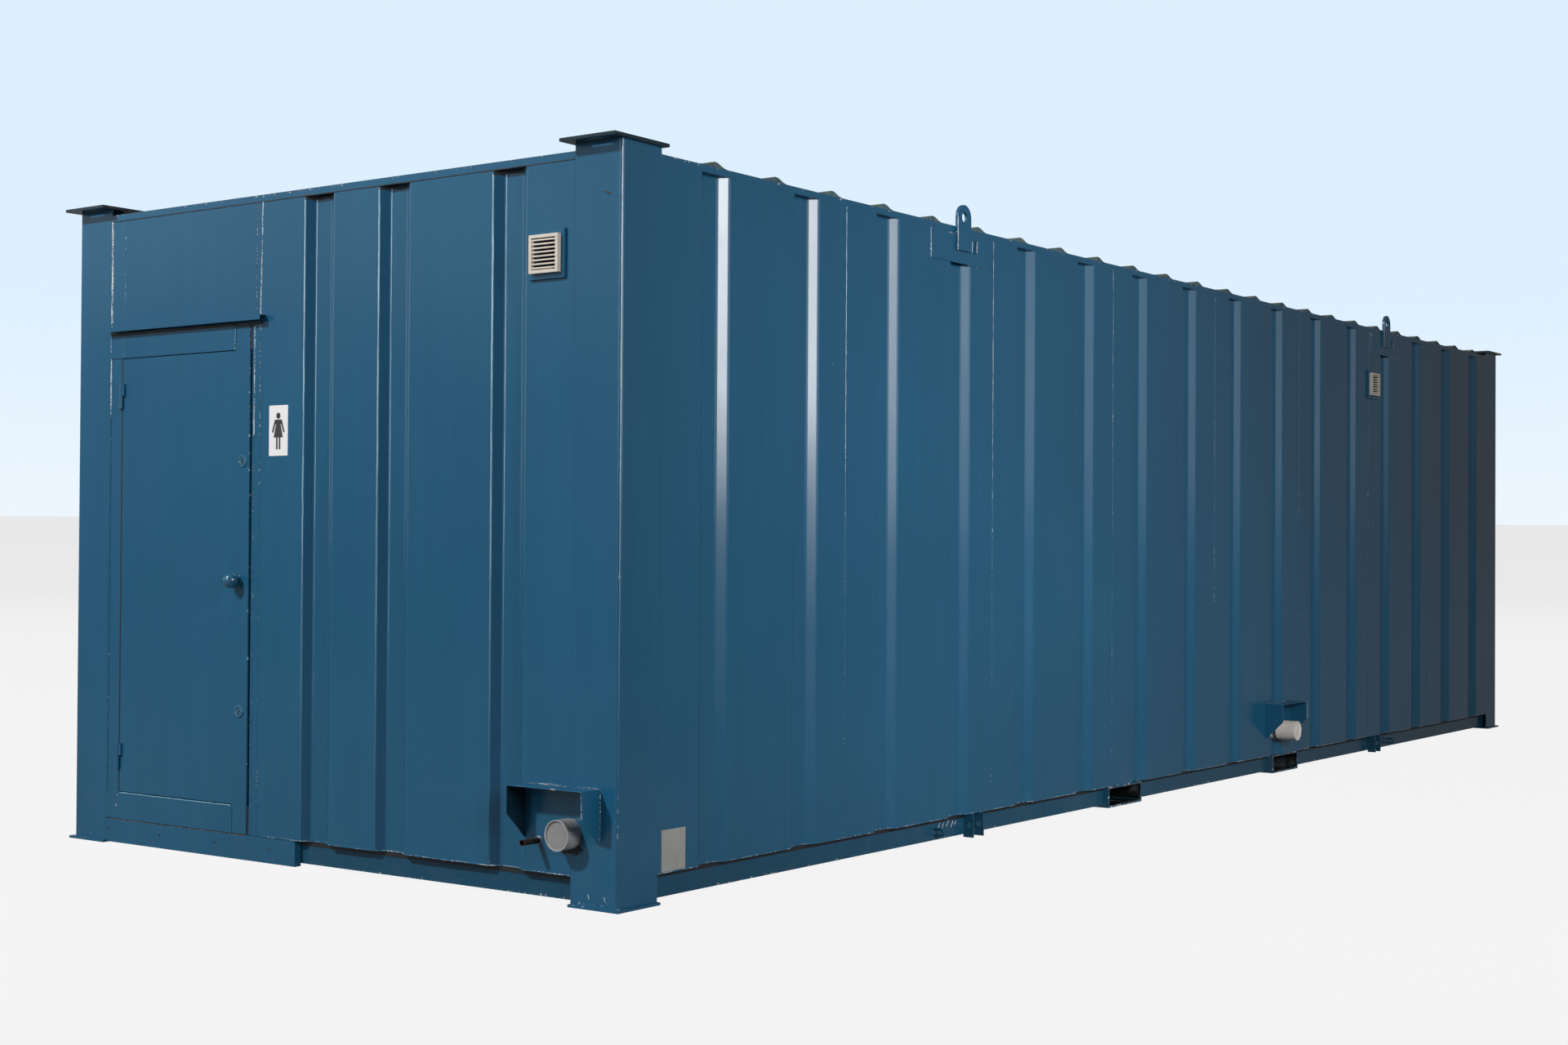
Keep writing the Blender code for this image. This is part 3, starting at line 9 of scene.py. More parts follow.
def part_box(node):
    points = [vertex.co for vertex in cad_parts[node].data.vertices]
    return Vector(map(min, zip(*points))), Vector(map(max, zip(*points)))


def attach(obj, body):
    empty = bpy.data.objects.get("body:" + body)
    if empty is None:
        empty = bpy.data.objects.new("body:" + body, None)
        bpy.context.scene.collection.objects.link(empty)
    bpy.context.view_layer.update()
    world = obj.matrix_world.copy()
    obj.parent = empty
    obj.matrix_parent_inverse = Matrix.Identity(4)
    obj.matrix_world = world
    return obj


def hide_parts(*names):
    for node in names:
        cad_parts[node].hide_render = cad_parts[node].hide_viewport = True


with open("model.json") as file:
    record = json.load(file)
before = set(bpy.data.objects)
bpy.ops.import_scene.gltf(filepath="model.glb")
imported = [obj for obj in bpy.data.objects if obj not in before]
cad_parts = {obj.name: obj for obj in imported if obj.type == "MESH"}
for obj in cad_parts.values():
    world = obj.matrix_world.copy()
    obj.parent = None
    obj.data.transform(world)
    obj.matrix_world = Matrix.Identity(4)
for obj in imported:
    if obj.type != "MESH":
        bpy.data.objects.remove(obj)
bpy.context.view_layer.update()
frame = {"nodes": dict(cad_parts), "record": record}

# Camera: at a standing person's height off the near front corner, a little more than a normal
# lens, level, with both the women's end and the long front wall in view.
near_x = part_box("end_cladding_near")[0].x
front_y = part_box("side_cladding_front")[0].y
far_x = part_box("end_cladding_far")[1].x
back_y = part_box("side_cladding_back")[1].y


def on_block(x, y, z):
    """A point measured along the block, across it and up, from the foot of the near front corner."""
    return Vector((near_x + x, front_y + y, z))


camera_data = bpy.data.cameras.new("camera")
camera_data.sensor_width = 36
camera_data.lens = 48.28
camera_data.clip_end = 2000
camera = bpy.data.objects.new("camera", camera_data)
bpy.context.scene.collection.objects.link(camera)
right = Vector((0.5851, -0.8109, 0.0059)).normalized()
ahead = Vector((0.8109, 0.5851, 0.0115)).normalized()
above = right.cross(ahead).normalized()
right = ahead.cross(above)
camera.matrix_world = Matrix.Translation(on_block(-5.5628, -4.7131, 1.268)) @ Matrix(
    ((right.x, above.x, -ahead.x, 0), (right.y, above.y, -ahead.y, 0), (right.z, above.z, -ahead.z, 0),
     (0, 0, 0, 1)))
bpy.context.scene.camera = camera
bpy.context.scene.view_settings.view_transform = "Standard"


# Floor and sky: a plain pale floor that fades to a level horizon, under a very pale blue sky.
# The camera sees them in full and glossy paint mirrors a cloudy share of them; all other light
# comes from soft boxes and a dim grey surround.
def new_material(name):
    made = bpy.data.materials.new(name)
    made.use_nodes = True
    return made, made.node_tree.nodes, made.node_tree.links


def ramp(nodes, stops):
    """A colour ramp from pairs of place and colour or grey level."""
    node = nodes.new("ShaderNodeValToRGB")
    bar = node.color_ramp
    while len(bar.elements) < len(stops):
        bar.elements.new(0.5)
    for element, (place, colour) in zip(bar.elements, stops):
        element.position = place
        element.color = (*colour, 1) if isinstance(colour, tuple) else (colour, colour, colour, 1)
    return node


def math_node(nodes, links, operation, first, second=None, third=None):
    """A maths step on numbers or sockets, and the socket that gives its result."""
    node = nodes.new("ShaderNodeMath")
    node.operation = operation
    for socket, value in zip(node.inputs, (first, second, third)):
        if value is None:
            continue
        if isinstance(value, (int, float)):
            socket.default_value = value
        else:
            links.new(value, socket)
    return node.outputs["Value"]


def noise_node(nodes, links, vector, scale, detail=2.0, roughness=0.5):
    node = nodes.new("ShaderNodeTexNoise")
    node.inputs["Scale"].default_value = scale
    node.inputs["Detail"].default_value = detail
    node.inputs["Roughness"].default_value = roughness
    links.new(vector, node.inputs["Vector"])
    return node.outputs["Fac"]


def step_up(nodes, links, value, low, high, to_low=0.0, to_high=1.0, kind="SMOOTHSTEP"):
    """The value turned from one range into another, smoothly unless kind says otherwise."""
    node = nodes.new("ShaderNodeMapRange")
    node.interpolation_type = kind
    node.inputs["From Min"].default_value = low
    node.inputs["From Max"].default_value = high
    node.inputs["To Min"].default_value = to_low
    node.inputs["To Max"].default_value = to_high
    links.new(value, node.inputs["Value"])
    return node.outputs["Result"]


def mix_colour(nodes, links, amount, first, second, kind="MIX"):
    node = nodes.new("ShaderNodeMix")
    node.data_type = "RGBA"
    node.blend_type = kind
    for socket, value in ((node.inputs[0], amount), (node.inputs[6], first), (node.inputs[7], second)):
        if isinstance(value, (int, float)):
            socket.default_value = value
        elif isinstance(value, tuple):
            socket.default_value = (*value, 1)
        else:
            links.new(value, socket)
    return node.outputs[2]


floor_mesh = bpy.data.meshes.new("floor")
bm = bmesh.new()
bmesh.ops.create_grid(bm, x_segments=8, y_segments=8, size=900)
bm.to_mesh(floor_mesh)
bm.free()
floor = bpy.data.objects.new("floor", floor_mesh)
bpy.context.scene.collection.objects.link(floor)
floor_paint, nodes, links = new_material("floor")
shader = nodes["Principled BSDF"]
shader.inputs["Roughness"].default_value = 0.9
shader.inputs["Specular IOR Level"].default_value = 0.1
shader.inputs["Base Color"].default_value = (0.14, 0.14, 0.14, 1)
place = nodes.new("ShaderNodeTexCoord")
length = nodes.new("ShaderNodeVectorMath")
length.operation = "LENGTH"
links.new(place.outputs["Object"], length.inputs[0])
tone = ramp(nodes, [(0.0, 1.0), (0.35, 0.97), (1.0, 0.915)])
links.new(step_up(nodes, links, length.outputs["Value"], 4, 60, kind="SMOOTHERSTEP"), tone.inputs["Fac"])
glow = nodes.new("ShaderNodeEmission")
links.new(tone.outputs["Color"], glow.inputs["Color"])
glow.inputs["Strength"].default_value = 1.03
path = nodes.new("ShaderNodeLightPath")
shown = math_node(nodes, links, "MULTIPLY", path.outputs["Is Camera Ray"], 0.86)
shown = math_node(nodes, links, "MULTIPLY_ADD", path.outputs["Is Glossy Ray"], 0.14, shown)
mixed = nodes.new("ShaderNodeMixShader")
links.new(shown, mixed.inputs["Fac"])
links.new(shader.outputs["BSDF"], mixed.inputs[1])
links.new(glow.outputs["Emission"], mixed.inputs[2])
links.new(mixed.outputs["Shader"], nodes["Material Output"].inputs["Surface"])
floor_mesh.materials.append(floor_paint)

HORIZON = 0.0117
world = bpy.data.worlds.new("surround")
world.use_nodes = True
bpy.context.scene.world = world
nodes, links = world.node_tree.nodes, world.node_tree.links
nodes.clear()
place = nodes.new("ShaderNodeTexCoord")
split = nodes.new("ShaderNodeSeparateXYZ")
links.new(place.outputs["Generated"], split.inputs["Vector"])
climb = step_up(nodes, links, split.outputs["Z"], 0.0, 0.25, kind="LINEAR")
sky = ramp(nodes, [(0.0, (0.863, 0.930, 0.991)), (0.45, (0.730, 0.871, 1.0)),
                   (1.0, (0.716, 0.863, 0.973))])
links.new(climb, sky.inputs["Fac"])
above_line = math_node(nodes, links, "GREATER_THAN", split.outputs["Z"], HORIZON)
backdrop = mix_colour(nodes, links, above_line, (0.806, 0.806, 0.806), sky.outputs["Color"])
shown = nodes.new("ShaderNodeBackground")
links.new(backdrop, shown.inputs["Color"])
surround = ramp(nodes, [(0.0, 0.05), (0.16, 0.05), (0.30, 0.15), (0.6, 0.09), (1.0, 0.11)])
links.new(step_up(nodes, links, split.outputs["Z"], -0.2, 1.0, kind="LINEAR"), surround.inputs["Fac"])
along = step_up(nodes, links, split.outputs["X"], 0.42, 0.92, kind="LINEAR")
beyond = mix_colour(nodes, links, along, surround.outputs["Color"], (0.165, 0.140, 0.122))
lit = nodes.new("ShaderNodeBackground")
links.new(beyond, lit.inputs["Color"])
path = nodes.new("ShaderNodeLightPath")
turned_away = math_node(nodes, links, "SUBTRACT", 1.0, along)
clouds = noise_node(nodes, links, place.outputs["Generated"], 3.4)
thick = step_up(nodes, links, clouds, 0.38, 0.62, 0.45, 1.7, "LINEAR")
cloudy = math_node(nodes, links, "MULTIPLY", thick, turned_away)
mirrored = math_node(nodes, links, "MULTIPLY", path.outputs["Is Glossy Ray"], cloudy)
seen = math_node(nodes, links, "MULTIPLY_ADD", mirrored, 0.20, path.outputs["Is Camera Ray"])
either = nodes.new("ShaderNodeMixShader")
links.new(seen, either.inputs["Fac"])
links.new(lit.outputs["Background"], either.inputs[1])
links.new(shown.outputs["Background"], either.inputs[2])
output = nodes.new("ShaderNodeOutputWorld")
links.new(either.outputs["Shader"], output.inputs["Surface"])


def soft_box(name, at, aim, size, power, spread=180):
    """A rectangular lamp at one point, turned to face another; the spread is in degrees."""
    data = bpy.data.lights.new(name, "AREA")
    data.shape = "RECTANGLE"
    data.size, data.size_y = size
    data.energy = power
    data.spread = math.radians(spread)
    lamp = bpy.data.objects.new(name, data)
    lamp.location = at
    lamp.rotation_euler = (at - aim).to_track_quat("Z", "Y").to_euler()
    bpy.context.scene.collection.objects.link(lamp)


soft_box("end_light", on_block(-8.5, 4.7, 9.1), on_block(0, 1.5, 1.3), (0.8, 0.8), 1260)
soft_box("end_strip", on_block(-12.0, 3.6, 4.8), on_block(0, 1.5, 1.6), (1.2, 5.6), 230)
soft_box("end_sheen", on_block(-12.0, 14.5, 5.4), on_block(0, 1.0, 2.4), (9.0, 2.4), 30)
soft_box("back_strip", on_block(-4.0, 15.0, 3.6), on_block(0, 1.5, 1.8), (1.4, 4.5), 60)
soft_box("side_window", on_block(-1.9, -7.5, 3.45), on_block(3.2, 0, 1.2), (2.6, 2.8), 92, 62)
soft_box("side_fill", on_block(2.6, -9.0, 3.6), on_block(2.2, 0, 1.3), (9.0, 4.0), 146)


# Painted steel: two coats of deep blue rolled and sprayed over mild steel, with a faint orange
# peel, broad uneven patches, thin runs of dust, and small chips down to a pale primer and rust.
def new_group(name, inputs, outputs):
    """An empty node group with its sockets made, and its nodes, links, input and output."""
    group = bpy.data.node_groups.new(name, "ShaderNodeTree")
    for label, kind, value in inputs:
        socket = group.interface.new_socket(label, in_out="INPUT", socket_type=kind)
        socket.default_value = value
    for label, kind in outputs:
        group.interface.new_socket(label, in_out="OUTPUT", socket_type=kind)
    nodes = group.nodes
    return group, nodes, group.links, nodes.new("NodeGroupInput"), nodes.new("NodeGroupOutput")


def stretched(nodes, links, vector, scale):
    node = nodes.new("ShaderNodeMapping")
    node.inputs["Scale"].default_value = scale
    links.new(vector, node.inputs["Vector"])
    return node.outputs["Vector"]


coat, nodes, links, given, result = new_group(
    "cabin_paint",
    [("Colour", "NodeSocketColor", (0.010, 0.088, 0.180, 1)), ("Chips", "NodeSocketFloat", 0.3),
     ("Wear", "NodeSocketFloat", 0.0), ("Dust", "NodeSocketFloat", 0.3),
     ("Rust", "NodeSocketFloat", 0.3)],
    [("Colour", "NodeSocketColor"), ("Roughness", "NodeSocketFloat"), ("Height", "NodeSocketFloat")])
spot = nodes.new("ShaderNodeTexCoord").outputs["Object"]
patchy = noise_node(nodes, links, spot, 0.7, 3.0, 0.5)
patchy = step_up(nodes, links, patchy, 0.3, 0.7, 0.955, 1.05)
runs = noise_node(nodes, links, stretched(nodes, links, spot, (11, 11, 0.45)), 1.6, 4.0, 0.6)
runs = step_up(nodes, links, runs, 0.35, 0.75, 0.975, 1.045)
depth = math_node(nodes, links, "MULTIPLY", patchy, runs)
body_colour = mix_colour(nodes, links, 1.0, given.outputs["Colour"], depth, "MULTIPLY")
greener = step_up(nodes, links, noise_node(nodes, links, spot, 1.5, 2.0, 0.5), 0.35, 0.7, 0.0, 0.45)
cool = mix_colour(nodes, links, 1.0, body_colour, (0.86, 1.04, 0.96), "MULTIPLY")
body_colour = mix_colour(nodes, links, greener, body_colour, cool)
grime = noise_node(nodes, links, spot, 7.0, 6.0, 0.65)
high = nodes.new("ShaderNodeSeparateXYZ")
links.new(spot, high.inputs["Vector"])
low_down = step_up(nodes, links, high.outputs["Z"], 0.55, 0.02)
grime = math_node(nodes, links, "MULTIPLY", step_up(nodes, links, grime, 0.45, 0.75), low_down)
grime = math_node(nodes, links, "MULTIPLY", grime, given.outputs["Dust"])
body_colour = mix_colour(nodes, links, grime, body_colour, (0.17, 0.20, 0.20))
chip = noise_node(nodes, links, spot, 55.0, 5.0, 0.62)
sparse = noise_node(nodes, links, spot, 2.3, 2.0, 0.5)
for source, share in ((sparse, 0.16), (given.outputs["Wear"], 0.20), (given.outputs["Chips"], 0.06)):
    chip = math_node(nodes, links, "MULTIPLY_ADD", source, share, chip)
bare = step_up(nodes, links, chip, 0.865, 0.885)
speck = nodes.new("ShaderNodeTexVoronoi")
speck.inputs["Scale"].default_value = 7.0
links.new(spot, speck.inputs["Vector"])
dot = step_up(nodes, links, speck.outputs["Distance"], 0.020, 0.012)
chosen = nodes.new("ShaderNodeSeparateColor")
links.new(speck.outputs["Color"], chosen.inputs["Color"])
dot = math_node(nodes, links, "MULTIPLY", dot,
                math_node(nodes, links, "LESS_THAN", chosen.outputs["Red"], given.outputs["Chips"]))
bare = math_node(nodes, links, "MAXIMUM", bare, dot)
rusty = noise_node(nodes, links, spot, 70.0, 3.0, 0.6)
rusty = math_node(nodes, links, "MULTIPLY_ADD", given.outputs["Rust"], 0.45, rusty)
rusty = step_up(nodes, links, rusty, 0.68, 0.76)
under = mix_colour(nodes, links, rusty, (0.50, 0.53, 0.50), (0.20, 0.085, 0.035))
body_colour = mix_colour(nodes, links, bare, body_colour, under)
links.new(body_colour, result.inputs["Colour"])
sheen = noise_node(nodes, links, spot, 2.0, 3.0, 0.5)
sheen = step_up(nodes, links, sheen, 0.3, 0.7, 0.19, 0.24)
sheen = math_node(nodes, links, "MULTIPLY_ADD", grime, 0.4, sheen)
sheen = math_node(nodes, links, "MULTIPLY_ADD", bare, 0.3, sheen)
links.new(sheen, result.inputs["Roughness"])
peel = noise_node(nodes, links, spot, 420.0, 2.0, 0.5)
dents = noise_node(nodes, links, spot, 1.7, 1.0, 0.4)
relief = math_node(nodes, links, "MULTIPLY", peel, 0.000012)
relief = math_node(nodes, links, "MULTIPLY_ADD", dents, 0.0009, relief)
relief = math_node(nodes, links, "MULTIPLY_ADD", bare, -0.0002, relief)
links.new(relief, result.inputs["Height"])

PAINT = (0.011, 0.090, 0.178)
DARK_PAINT = (0.010, 0.064, 0.120)


def paint_material(name, colour=PAINT, chips=0.1, dust=0.3, rust=0.2, wear=None, bump=1.0):
    """Paint with its own wear; wear is a function that makes the mask where chips gather."""
    made, nodes, links = new_material(name)
    shader = nodes["Principled BSDF"]
    shader.inputs["Specular IOR Level"].default_value = 0.5
    group = nodes.new("ShaderNodeGroup")
    group.node_tree = coat
    group.inputs["Colour"].default_value = (*colour, 1)
    group.inputs["Chips"].default_value = chips
    group.inputs["Dust"].default_value = dust
    group.inputs["Rust"].default_value = rust
    if callable(wear):
        links.new(wear(nodes, links), group.inputs["Wear"])
    elif wear:
        group.inputs["Wear"].default_value = wear
    links.new(group.outputs["Colour"], shader.inputs["Base Color"])
    links.new(group.outputs["Roughness"], shader.inputs["Roughness"])
    raised = nodes.new("ShaderNodeBump")
    raised.inputs["Strength"].default_value = bump
    raised.inputs["Distance"].default_value = 1.0
    links.new(group.outputs["Height"], raised.inputs["Height"])
    links.new(raised.outputs["Normal"], shader.inputs["Normal"])
    return made


def worn_in(*spans, soft=0.008, level=1.0):
    """A mask of boxes, each given by two corners on the block; None leaves that side open."""
    def mask(nodes, links):
        split = nodes.new("ShaderNodeSeparateXYZ")
        links.new(nodes.new("ShaderNodeTexCoord").outputs["Object"], split.inputs["Vector"])
        total = None
        for low, high in spans:
            inside = None
            for axis, first, last, origin in zip("XYZ", low, high, (near_x, front_y, 0)):
                if first is None:
                    continue
                middle, half = (first + last) / 2 + origin, (last - first) / 2
                off = math_node(nodes, links, "ABSOLUTE",
                                math_node(nodes, links, "SUBTRACT", split.outputs[axis], middle))
                band = step_up(nodes, links, off, half + soft, half)
                inside = band if inside is None else math_node(nodes, links, "MULTIPLY", inside, band)
            total = inside if total is None else math_node(nodes, links, "MAXIMUM", total, inside)
        return math_node(nodes, links, "MULTIPLY", total, level)
    return mask


def heights(low, high):
    """A box for worn_in that reaches over the whole block between two heights."""
    return (None, None, low), (None, None, high)


def body_of(node):
    for body, nodes in frame["record"]["behaviour"]["bodies"].items():
        if node in nodes:
            return body


def rounded(name, material, radius=0.0012, segments=2, sharpest=35, wanted=None, clamp=True):
    """The same piece with its edges eased, as paint and folding leave them, in place of the CAD one."""
    mesh = bpy.data.meshes.new(name + "_eased")
    bm = bmesh.new()
    bm.from_mesh(frame["nodes"][name].data)
    bmesh.ops.remove_doubles(bm, verts=bm.verts, dist=0.00002)
    bmesh.ops.dissolve_limit(bm, angle_limit=math.radians(0.5), verts=bm.verts, edges=bm.edges)
    picked = [edge for edge in bm.edges if len(edge.link_faces) == 2
              and edge.calc_face_angle(0) > math.radians(sharpest) and (not wanted or wanted(edge))]
    bmesh.ops.bevel(bm, geom=picked, offset=radius, segments=segments, profile=0.5, affect="EDGES",
                    material=-1, clamp_overlap=clamp)
    bm.to_mesh(mesh)
    bm.free()
    mesh.shade_smooth()
    mesh.set_sharp_from_angle(angle=math.radians(50))
    mesh.materials.append(material)
    piece = bpy.data.objects.new(name + "_eased", mesh)
    bpy.context.scene.collection.objects.link(piece)
    even = piece.modifiers.new("even_shading", "WEIGHTED_NORMAL")
    even.keep_sharp = True
    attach(piece, body_of(name))
    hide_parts(name)
    return piece


def second_finish(piece, material, wanted):
    """Gives a second material to the faces that the test picks."""
    piece.data.materials.append(material)
    for face in piece.data.polygons:
        if wanted(face):
            face.material_index = 1


def finish_node(name, material):
    """Gives a CAD piece its material and leaves its shape alone."""
    mesh = frame["nodes"][name].data
    mesh.materials.clear()
    mesh.materials.append(material)


# Wall sheets: 2 mm steel pressed with shallow grooves, so every bend is a small round; the paint
# has chipped along the cut edges at the bottom and under the roof.
LONG = far_x - near_x
WIDE = back_y - front_y


def pressed_bend(edge):
    run = edge.verts[1].co - edge.verts[0].co
    return abs(run.z) > 0.02 and abs(run.normalized().z) > 0.999 and edge.calc_face_angle(0) < 1.2


wall_paint = paint_material("wall_paint", chips=0.05, dust=0.04, rust=0.15,
                            wear=worn_in(heights(0.09, 0.108), soft=0.006, level=0.5))
# Painted shade: on the near end wall the groove webs that turn towards the front get a darker paint, for
# the shade they are in.
groove_painted_shade = paint_material("groove_painted_shade", colour=(0.006, 0.055, 0.118), chips=0.05, dust=0.04,
                              rust=0.15)
for name in ("side_cladding_front", "side_cladding_back", "end_cladding_near", "end_cladding_far"):
    wall = rounded(name, wall_paint, 0.008, 4, 20, pressed_bend, clamp=False)
    if name == "end_cladding_near":
        second_finish(wall, groove_painted_shade, lambda face: face.normal.x < -0.7 and face.normal.y < -0.55)

# Corner posts: square tubes behind folded covers, with cap and foot plates welded on. The feet
# and caps are knocked by lifting gear, so their edges show primer.
post_wear = worn_in(heights(-0.01, 0.03), heights(2.685, 2.70), soft=0.01, level=0.6)
post_paint = paint_material("post_paint", chips=0.12, dust=0.06, rust=0.3, bump=0.6, wear=post_wear)
cap_paint = paint_material("cap_paint", colour=(0.006, 0.021, 0.031), chips=0.4, dust=0.0, rust=0.5,
                           bump=0.6, wear=worn_in(heights(2.688, 2.70), soft=0.004, level=0.45))
ENDS = ("near", "far")
SIDES = ("front", "back")
CAP_FOOT = 2.683
for end in ENDS:
    for side in SIDES:
        post = rounded(f"corner_post_{side}_{end}", post_paint, 0.0035, 3)
        second_finish(post, cap_paint, lambda face: face.center.z > CAP_FOOT)

# Entrance doors: a folded steel leaf with a full-height cover strip, in a rebated frame with
# lift-off hinges and a drip bar over it; everything is sprayed over in place.
door_wear = worn_in(((None, 1.925, 0.10), (None, 1.937, 2.15)),
                    ((None, 2.7485, 0.10), (None, 2.768, 0.42)), soft=0.006, level=0.75)
door_paint = paint_material("door_paint", chips=0.1, dust=0.06, rust=0.1, bump=0.8, wear=door_wear)
for piece in ("door_leaf_", "door_frame_", "threshold_"):
    for end in ENDS:
        rounded(piece + end, door_paint, 0.0008)
knob_paint = paint_material("knob_paint", chips=0.05, dust=0.0, bump=0.4)
knob_paint.node_tree.nodes["Principled BSDF"].inputs["Coat Weight"].default_value = 0.5
for end in ENDS:
    rounded("door_knob_" + end, knob_paint, 0.0008)

# Base frame and fork pockets: rolled channel and plate, darker than the walls and splashed with dirt,
# scraped at the pockets' rims by the forks of a lift truck.
frame_paint = paint_material("frame_paint", colour=DARK_PAINT, chips=0.3, dust=0.06, rust=0.3,
                             wear=worn_in(heights(0.010, 0.022), soft=0.006, level=0.7))
frame_paint.node_tree.nodes["Principled BSDF"].inputs["Specular IOR Level"].default_value = 0.3
rounded("base_frame", frame_paint, 0.001)
pocket_paint = paint_material("pocket_paint", colour=DARK_PAINT, chips=0.5, dust=0.2, rust=0.5,
                              wear=worn_in(((None, -0.01, None), (None, 0.004, None)),
                                           ((None, WIDE - 0.004, None), (None, WIDE + 0.01, None)),
                                           soft=0.008, level=0.9))
# Painted shade: the pockets' inner faces are painted near black, with some dust and rust on them.
pocket_painted_shade = paint_material("pocket_painted_shade", colour=(0.005, 0.006, 0.007), chips=0.0, dust=0.5,
                              rust=0.4)
for end in ENDS:
    middle = sum(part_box("fork_pocket_" + end), Vector()) / 2
    second_finish(rounded("fork_pocket_" + end, pocket_paint, 0.002), pocket_painted_shade,
                  lambda face: face.area > 0.02 and (face.center - middle).dot(face.normal) < 0)

# Roof: a folded eaves rail and a ribbed sheet over it; leaves and standing water have left
# ochre and rust on the ribs' ends.
roof_paint = paint_material("roof_paint", colour=(0.085, 0.135, 0.140), chips=0.5, dust=0.2, rust=0.75,
                            wear=worn_in(heights(2.655, 2.69), soft=0.01, level=0.75))
rail_paint = paint_material("rail_paint", chips=0.15, dust=0.2, rust=0.4,
                            wear=worn_in(heights(2.652, 2.66), soft=0.006, level=0.8))
rounded("roof_sheet", roof_paint, 0.0008)
rounded("roof_frame", rail_paint, 0.0015)

# Lifting lugs: thick eye plates welded on patch plates at the top of a groove. Shackles and
# welding have taken the paint off their left edges and the small tabs.
LUG_PLACES = (2.275, 7.475)
lug_wear = [((x - 0.11, None, 2.625), (x - 0.05, None, 2.635)) for x in LUG_PLACES]
lug_paint = paint_material("lug_paint", chips=0.35, dust=0.0, rust=0.35,
                           wear=worn_in(*lug_wear, soft=0.006, level=0.95))
for side in SIDES:
    for end in ENDS:
        rounded(f"lifting_lug_{side}_{end}", lug_paint, 0.0012)

# Pipe hoods: folded guards over the soil pipes, chipped along the lid's front edge.
hood_wear = worn_in(((-0.105, 0.20, 0.412), (-0.090, 0.245, 0.425)),
                    ((-0.02, 0.08, 0.418), (0.0, 0.44, 0.425)),
                    ((5.875, -0.105, 0.395), (5.955, -0.092, 0.405)), soft=0.004, level=1.1)
hood_paint = paint_material("hood_paint", chips=0.25, dust=0.1, rust=0.55, bump=0.6, wear=hood_wear)
# Painted shade: the hoods' insides, the lid's underside and the end hood's inner cheeks, are painted
# near black.
hood_painted_shade = paint_material("hood_painted_shade", colour=(0.004, 0.020, 0.036), chips=0.0, dust=0.0,
                            rust=0.1, bump=0.6)
HOOD_SHEET = 0.0035
for name, run in (("pipe_hood_end", 1), ("pipe_hood_side", 0)):
    low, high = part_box(name)

    def in_shade(face):
        """Faces given painted shade: the lid's underside, and on the end hood the inner faces of its
        cheeks too.
        """
        place = face.center[run]
        if not low[run] + 0.001 < place < high[run] - 0.001 or face.center.z >= high.z - HOOD_SHEET:
            return False
        cheek = run == 1 and min(place - low[run], high[run] - place) > HOOD_SHEET
        return face.normal.z < -0.9 or abs(face.normal[run]) > 0.9 and cheek

    second_finish(rounded(name, hood_paint, 0.003, 3), hood_painted_shade, in_shade)


# Vents: painted collars, and cream moulded louvres that have yellowed and hold dust.
def plain_material(name, colour, roughness, metallic=0.0, mottle=0.06, scale=9.0, bump=0.00002,
                   stain=None, stain_colour=(0.1, 0.09, 0.08), grain=300.0):
    """A plain finish with its own mottle, fine grain and, where asked, a stain mask."""
    made, nodes, links = new_material(name)
    shader = nodes["Principled BSDF"]
    shader.inputs["Metallic"].default_value = metallic
    spot = nodes.new("ShaderNodeTexCoord").outputs["Object"]
    cloud = noise_node(nodes, links, spot, scale, 4.0, 0.55)
    tone = step_up(nodes, links, cloud, 0.3, 0.7, 1.0 - mottle, 1.0 + mottle)
    shade = mix_colour(nodes, links, 1.0, colour, tone, "MULTIPLY")
    rough = step_up(nodes, links, cloud, 0.3, 0.7, roughness * 0.88, min(roughness * 1.12, 1.0))
    if stain:
        amount = stain(nodes, links)
        shade = mix_colour(nodes, links, amount, shade, stain_colour)
        rough = math_node(nodes, links, "MULTIPLY_ADD", amount, 0.2, rough)
    links.new(shade, shader.inputs["Base Color"])
    links.new(rough, shader.inputs["Roughness"])
    fine = noise_node(nodes, links, spot, grain, 2.0, 0.5)
    raised = nodes.new("ShaderNodeBump")
    raised.inputs["Distance"].default_value = 1.0
    links.new(math_node(nodes, links, "MULTIPLY", fine, bump), raised.inputs["Height"])
    links.new(raised.outputs["Normal"], shader.inputs["Normal"])
    return made


def speckled_in(*spans, soft=0.01, scale=60.0, share=0.5, level=1.0):
    """A broken-up stain inside boxes on the block."""
    def mask(nodes, links):
        inside = worn_in(*spans, soft=soft)(nodes, links)
        spot = nodes.new("ShaderNodeTexCoord").outputs["Object"]
        broken = noise_node(nodes, links, spot, scale, 5.0, 0.65)
        broken = step_up(nodes, links, broken, 0.62 - share * 0.25, 0.70 - share * 0.2)
        stained = math_node(nodes, links, "MULTIPLY", inside, broken)
        return math_node(nodes, links, "MULTIPLY", stained, level)
    return mask


collar_paint = paint_material("collar_paint", chips=0.1, dust=0.0, rust=0.1, bump=0.5)
for name in ("vent_collar_end", "vent_collar_side"):
    rounded(name, collar_paint, 0.001)
grille_plastic = plain_material("grille_plastic", (0.60, 0.545, 0.475), 0.55, mottle=0.08, scale=14.0)
for name in ("vent_grille_end", "vent_grille_side"):
    rounded(name, grille_plastic, 0.001)


# Soil pipes: grey and cream plastic drain pipe, cut square, with a plug cemented in the mouth.
# The copper water pipe beside the end one is tarnished dark brown.
def with_plug(plug, stain):
    """The tube's own stain, and a darker plug in its mouth, between two corners on the block."""
    def mask(nodes, links):
        return math_node(nodes, links, "MAXIMUM", worn_in(plug, soft=0.0006, level=0.36)(nodes, links),
                         stain(nodes, links))
    return mask


